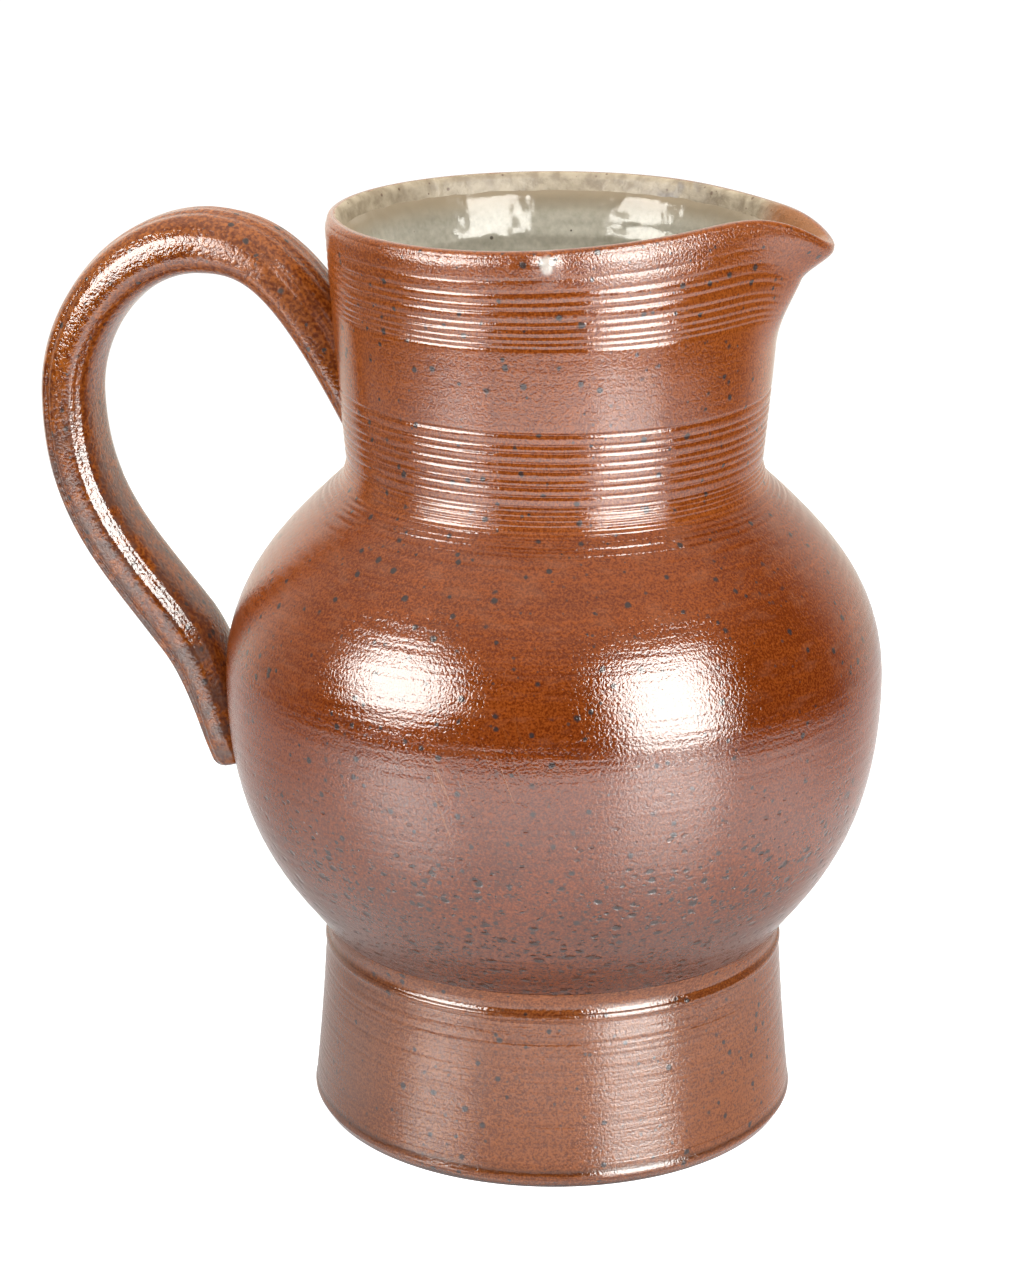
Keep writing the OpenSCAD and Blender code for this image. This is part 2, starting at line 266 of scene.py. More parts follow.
def profile_mesh(name, stretches):
    """The whole profile as a line of vertices that carry their marks and the way out of the clay."""
    rows = {key: np.concatenate([s[key] for s in stretches]) for key in ("points", *WALL_MARKS)}
    gaps = np.linalg.norm(np.diff(rows["points"], axis=0), axis=1)
    keep = np.concatenate([[True], gaps > SAME_POINT])
    rows = {key: value[keep] for key, value in rows.items()}
    points = rows["points"]
    way = np.gradient(points, axis=0)
    out = out_of(np.where(np.linalg.norm(way, axis=1, keepdims=True) < NO_WAY, [0.0, 1.0], way))
    mesh = bpy.data.meshes.new(name)
    edges = [(i, i + 1) for i in range(len(points) - 1)]
    mesh.from_pydata([(r * MM, 0, z * MM) for r, z in points], edges, [])
    for mark in WALL_MARKS:
        mesh.attributes.new(mark, "FLOAT", "POINT").data.foreach_set("value", rows[mark].astype(np.float32))
    flat = np.stack([out[:, 0], np.zeros(len(out)), out[:, 1]], -1).astype(np.float32)
    mesh.attributes.new("out", "FLOAT_VECTOR", "POINT").data.foreach_set("vector", flat.ravel())
    return mesh


# Geometry nodes that throw a wall from its profile. Lengths are in metres and turns in degrees

WALL_INPUTS = {
    "Turns": 256,
    "Spout reach": 13.6 * MM, "Spout spread": 17.3, "Spout dip": 6.6 * MM, "Dip spread": 12.0,
    "Pinch": 1.5 * MM, "Pinch turn": 48.0, "Pinch spread": 18.0,
    "Rim lift": 2.8 * MM, "Lift spread": 39.5,
    "Lip lift": 2.8 * MM, "Lip turn": 20.0, "Lip spread": 22.0,
    "Bead": 0.0, "Bead turn": -79.9, "Bead spread": 2.7, "Bead height": 246.0 * MM, "Bead drop": 2.8 * MM,
    "Line depth": 0.09 * MM, "Line pitch": 1.7 * MM,
    "Waver": 0.3 * MM, "Edge waver": 0.9 * MM, "Seed": 1.0,
}

# How often the wall's patterns change round the turn and up the wall, and how far a seed moves them
COMB_ROUND, COMB_UP = 4.0, 420.0
LINE_ROUND, LINE_SEED = 2.0, 37.0
WAVER_ROUND, WAVER_UP, WAVER_SEED = 0.8, 9.0, 5.0
EDGE_ROUND = 7.0

# The comb's depth along a groove, from the least by the span, its least fade, and the gap closed at the seam
COMB_LEAST, COMB_SPAN, LEAST_FADE = 0.4, 1.2, 0.01
SEAM = 2e-6


def wall_tree():
    tree = bpy.data.node_groups.new("thrown_wall", "GeometryNodeTree")
    tree.interface.new_socket("Profile", in_out="INPUT", socket_type="NodeSocketGeometry")
    for name, value in WALL_INPUTS.items():
        kind = "NodeSocketInt" if isinstance(value, int) else "NodeSocketFloat"
        tree.interface.new_socket(name, in_out="INPUT", socket_type=kind).default_value = value
    tree.interface.new_socket("Glaze", in_out="INPUT", socket_type="NodeSocketMaterial")
    tree.interface.new_socket("Wall", in_out="OUTPUT", socket_type="NodeSocketGeometry")
    entry = tree.nodes.new("NodeGroupInput")
    given = {socket.name: Wire(tree, socket) for socket in entry.outputs if socket.name}
    profile = given["Profile"]

    # A sheet with a column of vertices for each step of the turn and a row for each point of the profile
    rows = node(tree, "GeometryNodeAttributeDomainSize", {"Geometry": profile}, "Point Count")
    columns = given["Turns"] + 1.0
    sheet = node(tree, "GeometryNodeMeshGrid", {"Vertices X": columns, "Vertices Y": rows}, "Mesh")
    index = node(tree, "GeometryNodeInputIndex")
    row = index.math("MODULO", rows)
    turn = (index / rows).math("FLOOR") * (2 * math.pi) / given["Turns"]
    cos, sin = turn.math("COSINE"), turn.math("SINE")
    angle = sin.math("ARCTAN2", cos) * DEGREES

    def at_row(value, kind):
        return node(tree, "GeometryNodeSampleIndex", {"Geometry": profile, "Value": value, "Index": row},
                    "Value", data_type=kind, domain="POINT")

    def mark(name, kind="FLOAT"):
        value = node(tree, "GeometryNodeInputNamedAttribute", {"Name": name}, "Attribute", data_type=kind)
        return at_row(value, kind)

    def noise_round(scale, level, detail):
        """Noise that runs on round the wall without a seam."""
        return noise(combine(cos * scale, sin * scale, level), 1.0, detail)

    radius, _, height = split(at_row(node(tree, "GeometryNodeInputPosition"), "FLOAT_VECTOR"))
    out_r, _, out_z = split(mark("out", "FLOAT_VECTOR"))

    # The pulled spout, the pinch beside it, the rise of the rim and the bead of glaze on it
    pinched = hump(angle.math("ABSOLUTE") - given["Pinch turn"], given["Pinch spread"])
    pull = given["Spout reach"] * hump(angle, given["Spout spread"]) - given["Pinch"] * pinched
    rise = (given["Rim lift"] * hump(angle + given["Pinch turn"], given["Lift spread"])
            + given["Lip lift"] * hump(angle + given["Lip turn"], given["Lip spread"])
            - given["Spout dip"] * hump(angle, given["Dip spread"]))
    bead = (given["Bead"] * hump(angle - given["Bead turn"], given["Bead spread"])
            * hump(height - given["Bead height"], given["Bead drop"]))
    ragged = noise_round(COMB_ROUND, height * COMB_UP, 1.0) * COMB_SPAN + COMB_LEAST
    comb = mark("comb") * MM * ragged * (1.0 - mark("near") * hump(angle, mark("fade") + LEAST_FADE))

    # Throwing lines, the slow waver of a thrown wall and the waver of a poured edge, each to both sides of 0
    lines = noise_round(LINE_ROUND, height / given["Line pitch"] + given["Seed"] * LINE_SEED, 1.0)
    slow = noise_round(WAVER_ROUND, height * WAVER_UP + given["Seed"] * WAVER_SEED, 0.0)
    edge = noise_round(EDGE_ROUND, given["Seed"], 3.0)
    lines, slow, edge = ((pattern - 0.5) * 2.0 for pattern in (lines, slow, edge))
    line = mark("line")
    waver = line * slow * given["Waver"]
    push = line * lines * given["Line depth"] + waver

    wide = radius + mark("pull") * pull + (1.0 - mark("inside")) * bead - comb + out_r * push
    high = height + mark("rise") * rise + out_z * push + waver + mark("edge") * edge * given["Edge waver"]
    place = combine(wide * cos, wide * sin, high)
    wall = node(tree, "GeometryNodeSetPosition", {0: sheet, "Position": place})
    wall = node(tree, "GeometryNodeStoreNamedAttribute", {0: wall, "Name": "inside", "Value": mark("inside")},
                data_type="FLOAT", domain="POINT")
    wall = node(tree, "GeometryNodeMergeByDistance", {0: wall, "Distance": SEAM})
    wall = node(tree, "GeometryNodeSetShadeSmooth", {0: wall})
    wall = node(tree, "GeometryNodeSetMaterial", {0: wall, "Material": given["Glaze"]})
    plug(tree, tree.nodes.new("NodeGroupOutput").inputs[0], wall)
    return tree


def placed(name, data):
    """An object of a mesh, a lamp or a lens, put in the scene."""
    made = bpy.data.objects.new(name, data)
    bpy.context.scene.collection.objects.link(made)
    return made


def thrown(name, stretches, glaze, slot, **inputs):
    """Throws one wall from its profile, and lets it stand for the solid of the same name."""
    tree = bpy.data.node_groups.get("thrown_wall") or wall_tree()
    source = placed(name + "_profile", profile_mesh(name + "_profile", stretches))
    turning = source.modifiers.new("thrown_wall", "NODES")
    turning.node_group = tree
    sockets = {s.name: s.identifier for s in tree.interface.items_tree if s.in_out == "INPUT"}
    for key, value in inputs.items():
        turning[sockets[key]] = value
    turning[sockets["Glaze"]] = glaze
    graph = bpy.context.evaluated_depsgraph_get()
    whole = source.evaluated_get(graph)
    mesh = bpy.data.meshes.new_from_object(whole, preserve_all_data_layers=True, depsgraph=graph)
    bpy.data.objects.remove(source)
    settled(name, mesh)


def settled(name, mesh):
    mesh.name = name + "_clay"
    piece = placed(name + "_clay", mesh)
    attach(piece, "root")
    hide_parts(name)


# Glazes. Colours are linear red, green and blue, places are in metres and relief is in millimetres

# The brown glaze: how fine its grain and peel are, and how far they and the drawn lines show
BROWN = {
    "grain": 1900.0, "peel": 1300.0, "drawn tone": 0.5,
    "grain relief": 0.06, "peel relief": 0.085, "drawn relief": 0.05,
}

# Each piece's brown: its colours, and what else differs
BROWN_GLAZES = {
    "body": {**BROWN, "deep": (0.105, 0.0160, 0.0012), "bright": (0.240, 0.0490, 0.0060)},
    "neck": {
        **BROWN, "deep": (0.150, 0.0270, 0.0022), "bright": (0.330, 0.0800, 0.0110),
        "peel relief": 0.035, "drawn relief": 0.012,
    },
    "strap": {
        **BROWN, "deep": (0.130, 0.0240, 0.0020), "bright": (0.350, 0.0950, 0.0130),
        "grain": 1100.0, "peel": 700.0, "drawn tone": 0.9, "grain relief": 0.16,
    },
    "foot": {
        **BROWN, "deep": (0.122, 0.0270, 0.0042), "bright": (0.285, 0.0800, 0.0165),
        "drawn tone": 0.9, "drawn relief": 0.11,
    },
}
# How far patterns shift the tone. The fourth is how far painted shade darkens the upper belly towards the
# spout
GRAIN_TONE, PEEL_TONE, STREAK_TONE, SPOUT_SHADE_SIDE_TONE, LINING_TONE = 3.2, 1.6, 0.8, 0.25, 1.6
TAN_DEEP, TAN_BRIGHT = (0.295, 0.222, 0.135), (0.50, 0.405, 0.272)
TAN_SPECK, TAN_SPECK_COVER = (0.12, 0.055, 0.022), 0.8
SPOUT_DEEP, SPOUT_BRIGHT = (0.19, 0.062, 0.015), (0.36, 0.145, 0.050)
GREY_DEEP, GREY_BRIGHT = (0.39, 0.360, 0.280), (0.585, 0.546, 0.444)

# What lies on the glazes, among them painted sheen, shade and highlight: how far each covers them, and its
# colour
LAYERS = {
    # Painted sheen: pale patches that stand in for reflections on the upper belly
    "painted sheen": (0.15, (0.33, 0.135, 0.070)),
    "iron": (0.95, (0.026, 0.019, 0.018)),
    "fine iron": (0.8, (0.050, 0.030, 0.024)),
    "pits": (1.4, (0.018, 0.006, 0.004)),
    "fine pits": (1.2, (0.022, 0.008, 0.005)),
    "dust": (0.6, (0.040, 0.014, 0.008)),
    "scratches": (0.6, (0.330, 0.120, 0.035)),
    # Painted shade under the belly, just above the foot
    "underside shade": (0.55, (0.058, 0.021, 0.013)),
    # Painted shade, greyer and darker, on the handle's side of the lower belly
    "belly side shade": (0.3, (0.080, 0.032, 0.022)),
    # Painted shade, greyer and darker, on the handle's side of the foot
    "foot side shade": (0.5, (0.090, 0.035, 0.022)),
    # Partly gathered glaze and partly painted shade, at the foot's bottom edge and in the line above its roll
    "gathered glaze and shade": (1.0, (0.034, 0.011, 0.005)),
    "ash": (0.75, (0.095, 0.058, 0.048)),
    "mauve edge": (0.65, (0.27, 0.195, 0.16)),
    "stain": (0.7, (0.11, 0.105, 0.13)),
    # A painted highlight on the rim's bead
    "bead": (0.85, (0.80, 0.74, 0.66)),
    "lining specks": (0.85, (0.055, 0.040, 0.030)),
    "fine lining specks": (0.7, (0.16, 0.11, 0.07)),
    "lining edge": (0.95, (0.365, 0.285, 0.186)),
}
# The second and third are how far gathered glaze and painted shade cover the foot's bottom edge and the line
# above its roll
SHOULDER_COVER, GLAZE_AND_SHADE_EDGE_COVER, FOOT_LINE_COVER = 0.3, 0.85, 0.6
SPOUT_COVER, RUN_COVER = 1.2, 0.4

# Patterns: how often each changes in a metre, every way alike or by x, y and z, and its detail
PATTERNS = {
    "cloud": (24.0, 3.0),
    "drawn": ((30.0, 30.0, 1250.0), 3.0),
    "streak": ((22.0, 22.0, 900.0), 3.0),
    # The patches of painted sheen on the upper belly
    "painted sheen": ((110.0, 110.0, 330.0), 4.0),
    "dust": (1050.0, 4.0),
    "ash": (210.0, 3.0),
    "mottle": (260.0, 4.0),
    "run": (160.0, 2.0),
    "lining cloud": (30.0, 3.0),
    "lining grain": (620.0, 2.0),
    "lining ripple": ((16.0, 16.0, 300.0), 0.0),
    "lining dimple": (170.0, 1.0),
}

# Where a pattern or a mark starts to show, and where it shows in full
SHOWS = {
    "painted sheen": (0.50, 0.68), "dust": (0.50, 0.60), "scratches": (0.60, 0.70), "ash": (0.35, 0.62),
    "mottle": (0.30, 0.70), "dry band": (0.46, 0.74), "stain": (0.35, 0.6), "stain inside": (0.15, 0.4),
    "bead": (0.35, 0.80), "lining edge": (0.1, 0.95),
}

# Specks of each kind: how far apart, and their largest radius
SPECKS = {
    "iron": (0.0047, 0.0012),
    "fine iron": (0.0036, 0.0006),
    "pits": (0.0042, 0.0019),
    "fine pits": (0.0025, 0.0010),
    "tan specks": (0.0034, 0.0007),
    "lining specks": (0.0085, 0.0007),
    "fine lining specks": (0.0052, 0.00035),
}

# Specks are broken up by a push and its scale, and the pits are squashed and softer at the edge
IRON_PUSH, PIT_PUSH = (0.0003, 900.0), (0.0006, 480.0)
PIT_SQUASH, PIT_SOFT = (1.0, 1.0, 1.6), 0.6

# Where the glazes change with height
UPPER_BELLY, SHOULDER_GLAZE = (0.112, 0.136), (0.128, 0.160)
# The second and third are where painted shade fades out: under the belly above the foot, and low on the
# handle's side
PITTED, UNDERSIDE_SHADED, SIDE_SHADE_HEIGHT = (0.078, 0.132), (0.056, 0.096), (0.090, 0.125)
ASHY, DULL_CROWN, BUMPY_RIM = (0.165, 0.215), (0.200, 0.215), (0.238, 0.243)
# The foot's dark bottom edge and the dark line above its roll, by height: partly gathered glaze and partly
# painted shade
FOOT_GLAZE_AND_SHADE_EDGE, FOOT_LINE, FOOT_LINE_HALF, FOOT_WANDER = (0.0004, 0.0022), 0.0050, 0.0008, 0.003

# Where they change from the handle's side to the spout's. The first three place painted shade: on the upper
# belly towards the spout, and on the lower belly and the foot towards the handle
SPOUT_SHADE_SIDE, HANDLE_SHADE_SIDE, FOOT_HANDLE_SHADE_SIDE = (0.030, 0.085), (-0.070, -0.020), (-0.055, -0.020)
ASH_SIDE, ASH_LEAN, DULL_ROOT = (-0.035, -0.012), 0.55, (-0.106, -0.086)

# Marks at one place: the bead on the rim, with its height squeezed and the radius of its painted highlight,
# and the scratched patch of the belly
BEAD_SQUEEZE = (1.0, 1.0, 0.7)
RIM_BEAD, BEAD_R, BEAD_HIGHLIGHT_R = (0.0104, -0.0586, 0.246 * 0.7), 0.0024, 0.0021
SCRATCHED, SCRATCHED_R, SCRATCH_SLANT = (0.0005, -0.0875, 0.120), 0.017, 20.0
SCRATCH_SCALE = (1250.0, 60.0, 30.0)

# The rim's band: turns in degrees, and shares of the way from the outer face to the inner
SPOUT_TURN, STAIN_TURN, STAIN_SPREAD = (17.0, 34.0), 65.0, 7.0
MAUVE_AT, MAUVE_SPREAD, DRY_WANDER, LINING_WANDER = 0.42, 0.13, 0.3, 0.25

# How high the marks stand or how deep they are cut
IRON_HIGH, STREAK_HIGH, PIT_DEEP, FINE_PIT_DEEP, SCRATCH_DEEP = 0.015, 0.05, 0.20, 0.10, 0.03
DRY_HIGH, BUMP_HIGH, LINING_GRAIN_HIGH, LINING_WAVE_HIGH = 0.5, 0.10, 0.04, 0.5

# Roughness of the glazes, how far patterns shift it, and what marks add to it
BROWN_ROUGH, GRAIN_ROUGH, CLOUD_ROUGH = 0.04, 0.04, 0.03
IRON_ROUGH, DULL_ROUGH, DRY_ROUGH = 0.1, 0.22, 0.5
LINING_ROUGH, LINING_GRAIN_ROUGH, LINING_SPECULAR = 0.14, 0.06, 0.25


def scaled(place, x, y, z):
    return vectors("MULTIPLY", place, (x, y, z))


def mix(factor, a, b):
    return node(factor.tree, "ShaderNodeMix", {0: factor, 6: a, 7: b}, 2, data_type="RGBA")


def step_up(value, low, high):
    return node(value.tree, "ShaderNodeMapRange",
                {"Value": value, "From Min": low, "From Max": high}, interpolation_type="SMOOTHSTEP")


def shown(value, kind):
    return step_up(value, *SHOWS[kind])


def swing(pattern):
    """A pattern's swing about its middle."""
    return pattern - 0.5


def uneven(place, amount, scale):
    """The place, pushed about by up to the amount."""
    push = node(place.tree, "ShaderNodeTexNoise", {"Vector": place, "Scale": scale, "Detail": 1.0}, "Color")
    push = scaled(vectors("SUBTRACT", push, (0.5, 0.5, 0.5)), 2 * amount, 2 * amount, 2 * amount)
    return vectors("ADD", place, push)


def specks(place, kind, soft=0.4, least=0.35):
    """Round specks, each with a random size from the least share of its kind's radius up to all of it."""
    apart, radius = SPECKS[kind]
    cells = place.tree.nodes.new("ShaderNodeTexVoronoi")
    plug(place.tree, cells.inputs["Vector"], place)
    cells.inputs["Scale"].default_value = 1 / apart
    size = node(place.tree, "ShaderNodeSeparateColor", {0: Wire(place.tree, cells.outputs["Color"])})
    reach = (size * (1 - least) + least) * (radius / apart)
    return clamped((reach - Wire(place.tree, cells.outputs["Distance"])) / (reach * soft))


class Coat:
    """A glaze in the making: its place on the pot, and the colour, roughness and relief it has so far."""

    def __init__(self, name):
        self.glaze = bpy.data.materials.new(name)
        self.glaze.use_nodes = True
        self.tree = self.glaze.node_tree
        self.tree.nodes.clear()
        self.place = node(self.tree, "ShaderNodeTexCoord", None, "Object")
        self.x, y, self.height = split(self.place)
        self.angle = y.math("ARCTAN2", self.x) * DEGREES
        self.colour = self.rough = self.relief = None

    def marked(self, name, out):
        return node(self.tree, "ShaderNodeAttribute", None, out, attribute_name=name)

    def pattern(self, name):
        scale, detail = PATTERNS[name]
        if isinstance(scale, tuple):
            return noise(scaled(self.place, *scale), 1.0, detail)
        return noise(self.place, scale, detail)

    def cover(self, layer, amount):
        share, colour = LAYERS[layer]
        self.colour = mix(amount * share, self.colour, colour)

    def fired(self, **sockets):
        """Ends the glaze with one shader."""
        bump = node(self.tree, "ShaderNodeBump", {"Strength": 1.0, "Distance": MM, "Height": self.relief})
        shine = self.tree.nodes.new("ShaderNodeBsdfPrincipled")
        sockets = {"Base Color": self.colour, "Roughness": self.rough, "Normal": bump, "IOR": 1.5, **sockets}
        for name, value in sockets.items():
            plug(self.tree, shine.inputs[name], value)
        surface = self.tree.nodes.new("ShaderNodeOutputMaterial").inputs["Surface"]
        plug(self.tree, surface, Wire(self.tree, shine.outputs[0]))
        return self.glaze


def brown_salt_glaze(piece):
    """Orange-brown salt glaze: fine orange-peel grain, drawn lines, iron specks, and what the piece adds."""
    recipe = BROWN_GLAZES[piece]
    coat = Coat("brown_salt_glaze_" + piece)
    cloud = coat.cloud = coat.pattern("cloud")
    grain = coat.grain = noise(coat.place, recipe["grain"])
    peel = noise(coat.place, recipe["peel"], 1.0)
    drawn = noise(coat.marked("drawn", "Vector"), 1.0, 3.0) if piece == "strap" else coat.pattern("drawn")
    tone = swing(cloud) + swing(grain) * GRAIN_TONE + swing(peel) * PEEL_TONE
    coat.tone = clamped(tone + swing(drawn) * recipe["drawn tone"] + 0.5)
    if piece == "body":
        upper_belly_tone(coat)
    coat.colour = mix(coat.tone, recipe["deep"], recipe["bright"])
    if piece == "body":
        upper_belly_colour(coat)
    iron = specks(uneven(coat.place, *IRON_PUSH), "iron")
    coat.cover("iron", iron)
    coat.cover("fine iron", specks(coat.place, "fine iron"))
    coat.relief = (grain * recipe["grain relief"] + peel * recipe["peel relief"]
                   + drawn * recipe["drawn relief"] + iron * IRON_HIGH)
    coat.rough = swing(grain) * GRAIN_ROUGH + swing(cloud) * CLOUD_ROUGH + BROWN_ROUGH + iron * IRON_ROUGH
    {"body": belly_marks, "neck": rim_band, "strap": strap_ash, "foot": foot_edge}[piece](coat)
    return coat.fired()


def upper_belly_tone(coat):
    """Streaks round the upper belly, and painted shade that darkens it towards the spout."""
    coat.upper = step_up(coat.height, *UPPER_BELLY)
    coat.streak = coat.pattern("streak")
    # Painted shade darkens the upper belly towards the spout
    shift = swing(coat.streak) * STREAK_TONE - step_up(coat.x, *SPOUT_SHADE_SIDE) * SPOUT_SHADE_SIDE_TONE
    coat.tone = clamped(coat.tone + shift * coat.upper)


def upper_belly_colour(coat):
    """The shoulder takes on some of the neck's colour, and pale patches of painted sheen lie on the upper
    belly.
    """
    neck = BROWN_GLAZES["neck"]
    shoulder = mix(coat.tone, neck["deep"], neck["bright"])
    coat.colour = mix(step_up(coat.height, *SHOULDER_GLAZE) * SHOULDER_COVER, coat.colour, shoulder)
    # Pale patches of painted sheen, standing in for reflections
    coat.cover("painted sheen", shown(coat.pattern("painted sheen"), "painted sheen") * coat.upper)


def belly_marks(coat):
    """Pits and dust low on the belly, scratches, painted shade above the foot, and greyer painted shade on
    the handle's side.
    """
    low = 1.0 - step_up(coat.height, *PITTED)
    broken = scaled(uneven(coat.place, *PIT_PUSH), *PIT_SQUASH)
    pits, fine_pits = (clamped(specks(broken, kind, PIT_SOFT) + low - 1.0) for kind in ("pits", "fine pits"))
    scratch = scratches(coat)
    coat.cover("pits", pits)
    coat.cover("fine pits", fine_pits)
    coat.cover("dust", shown(coat.pattern("dust"), "dust") * low)
    coat.cover("scratches", scratch)
    # Painted shade under the belly, just above the foot
    coat.cover("underside shade", 1.0 - step_up(coat.height, *UNDERSIDE_SHADED))
    # Painted shade, greyer and darker, low on the handle's side
    coat.cover("belly side shade", (1.0 - step_up(coat.x, *HANDLE_SHADE_SIDE)) * (1.0 - step_up(coat.height, *SIDE_SHADE_HEIGHT)))
    coat.relief = coat.relief - pits * PIT_DEEP - fine_pits * FINE_PIT_DEEP - scratch * SCRATCH_DEEP
    coat.relief = coat.relief + coat.streak * coat.upper * STREAK_HIGH


def scratches(coat):
    """Fine slanting scratches on a patch of the belly."""
    slant = node(coat.tree, "ShaderNodeVectorRotate",
                 {"Vector": coat.place, "Angle": math.radians(SCRATCH_SLANT)}, rotation_type="Y_AXIS")
    streaks = noise(scaled(slant, *SCRATCH_SCALE), 1.0)
    away = vectors("DISTANCE", coat.place, SCRATCHED, "Value")
    return shown(streaks, "scratches") * hump(away, SCRATCHED_R)


def foot_edge(coat):
    """Painted shade makes the foot greyer and darker towards the handle, and gathered glaze with painted
    shade darkens its bottom edge and a line above its roll.
    """
    edge = coat.height + swing(coat.cloud) * FOOT_WANDER
    # Partly gathered glaze and partly painted shade: the bottom edge, and a line above the roll
    glaze_and_shade_edge = (1.0 - step_up(edge, *FOOT_GLAZE_AND_SHADE_EDGE)) * GLAZE_AND_SHADE_EDGE_COVER
    # Painted shade, greyer and darker, towards the handle
    coat.cover("foot side shade", 1.0 - step_up(coat.x, *FOOT_HANDLE_SHADE_SIDE))
    coat.cover("gathered glaze and shade", glaze_and_shade_edge + hump(edge - FOOT_LINE, FOOT_LINE_HALF) * FOOT_LINE_COVER)


def strap_ash(coat):
    """Grey ash on the strap's outer side, low down, and a duller glaze at its root."""
    outer = 1.0 - step_up(coat.x + coat.height * ASH_LEAN, *ASH_SIDE)
    coat.cover("ash", outer * (1.0 - step_up(coat.height, *ASHY)) * shown(coat.pattern("ash"), "ash"))
    dull = step_up(coat.x, *DULL_ROOT) * step_up(coat.height, *DULL_CROWN)
    coat.rough = coat.rough + dull * DULL_ROUGH


def rim_band(coat):
    """The dry tan band inside the rim, its mauve edge and stain, a bead with a painted highlight, and brown
    in the spout.
    """
    inside = coat.marked("inside", "Fac")
    spout = 1.0 - step_up(coat.angle.math("ABSOLUTE"), *SPOUT_TURN)
    mottle, run = coat.pattern("mottle"), coat.pattern("run")
    tan = mix(shown(mottle, "mottle"), TAN_DEEP, TAN_BRIGHT)
    tan = mix(specks(coat.place, "tan specks") * TAN_SPECK_COVER, tan, TAN_SPECK)
    brown = mix(coat.grain, SPOUT_DEEP, SPOUT_BRIGHT)
    tan = mix(clamped(spout * SPOUT_COVER - run * RUN_COVER), tan, brown)
    dry = shown(inside + swing(run) * DRY_WANDER, "dry band")
    coat.colour = mix(dry, coat.colour, tan)
    coat.cover("mauve edge", hump(inside - MAUVE_AT, MAUVE_SPREAD))
    stained = hump(coat.angle - STAIN_TURN, STAIN_SPREAD) * shown(run, "stain")
    coat.cover("stain", stained * shown(inside, "stain inside"))
    from_bead = vectors("DISTANCE", scaled(coat.place, *BEAD_SQUEEZE), RIM_BEAD, "Value")
    # A near-white painted highlight on the bead
    coat.cover("bead", shown(hump(from_bead, BEAD_HIGHLIGHT_R), "bead"))
    bumpy = step_up(coat.height, *BUMPY_RIM) * (1.0 - dry) * coat.grain
    coat.relief = coat.relief + hump(from_bead, BEAD_R) + dry * mottle * DRY_HIGH + bumpy * BUMP_HIGH
    coat.rough = coat.rough + dry * (1.0 - spout) * DRY_ROUGH


def grey_lining_glaze():
    """Grey-green glaze poured inside, smooth and glassy, with a few dark specks and a brown edge."""
    coat = Coat("grey_lining_glaze")
    kinds = ("cloud", "grain", "ripple", "dimple")
    cloud, grain, ripple, dimple = (coat.pattern("lining " + kind) for kind in kinds)
    tone = clamped((swing(cloud) + swing(grain)) * LINING_TONE + 0.5)
    coat.colour = mix(tone, GREY_DEEP, GREY_BRIGHT)
    for kind in ("lining specks", "fine lining specks"):
        coat.cover(kind, specks(coat.place, kind))
    edge = coat.marked("inside", "Fac") + swing(grain) * LINING_WANDER
    coat.cover("lining edge", shown(edge, "lining edge"))
    coat.rough = swing(grain) * LINING_GRAIN_ROUGH + LINING_ROUGH
    coat.relief = grain * LINING_GRAIN_HIGH + (cloud + ripple + dimple) * LINING_WAVE_HIGH
    return coat.fired(**{"Specular IOR Level": LINING_SPECULAR})


# Foot and collar

# The foot's side: how much of the flare is gone at a third and at two thirds, and the part between its edges
FLARE_GONE = (0.47, 0.82)
FOOT_SIDE = (0.05, 0.965)

# The groove under its bead, by height, depth and half width, and how far the side draws in above it
BEAD_GROOVE = (40.6, 0.16, 0.5)
DRAWN_IN, DRAWN_FROM, DRAWN_RUN = 0.3, 41.5, 5

# Corners of the rolled bottom edge and of the top bead
FOOT_ROLL = ((FOOT_R - FOOT_BEVEL_W + 0.3, 0), (FOOT_R + 0.45, 3.4), (FOOT_R - 0.25, FOOT_BEVEL_H + 0.2))
BEAD_START = (-0.05, FOOT_H - 2.2)
FOOT_BEAD = ((FOOT_TOP_R + 0.35, FOOT_H - 1.7), (FOOT_TOP_R + 0.05, FOOT_H - 0.35), (SEAT_R + 0.4, FOOT_H))
BEAD_END = (SEAT_R - 1, FOOT_H)
COLLAR_SUNK = 0.02


def turned_lines(points):
    return grooves(points[:, 1], FOOT_LINES, FOOT_TOOTH)


def foot_stretches():
    flare = FOOT_R - FOOT_TOP_R
    wall_h = FOOT_H - LEDGE_W - FOOT_BEVEL_H
    curve = [
        (FOOT_R, FOOT_BEVEL_H),
        (FOOT_R - flare * FLARE_GONE[0], FOOT_BEVEL_H + wall_h / 3),
        (FOOT_R - flare * FLARE_GONE[1], FOOT_BEVEL_H + wall_h * 2 / 3),
        (FOOT_TOP_R, FOOT_H - LEDGE_W),
    ]
    side = bez(curve, np.linspace(*FOOT_SIDE, 90))
    z = side[:, 1]
    side[:, 0] -= cuts(z, [BEAD_GROOVE]) + DRAWN_IN * ease((z - DRAWN_FROM) / DRAWN_RUN)
    heel = (FOOT_R - FOOT_WALL - FOOT_BEVEL_W, 0.0)
    bottom = softened([heel, *FOOT_ROLL, side[0]], radii=[0.9, 0.8, 0.5])
    bead_foot = (side[-1][0] + BEAD_START[0], BEAD_START[1])
    bead = softened([side[-1], bead_foot, *FOOT_BEAD, BEAD_END], radii=[0.4, 0.5, 0.5, 0.2])
    hollow = softened([BEAD_END, (FOOT_TOP_R - FOOT_WALL, FOOT_H), heel], radii=[0.8])
    return [
        stretch(bottom, step=0.4, line=0.4),
        stretch(side, step=0.3, line=0.55, comb=turned_lines),
        stretch(bead, step=0.16),
        stretch(hollow, step=2.0),
    ]


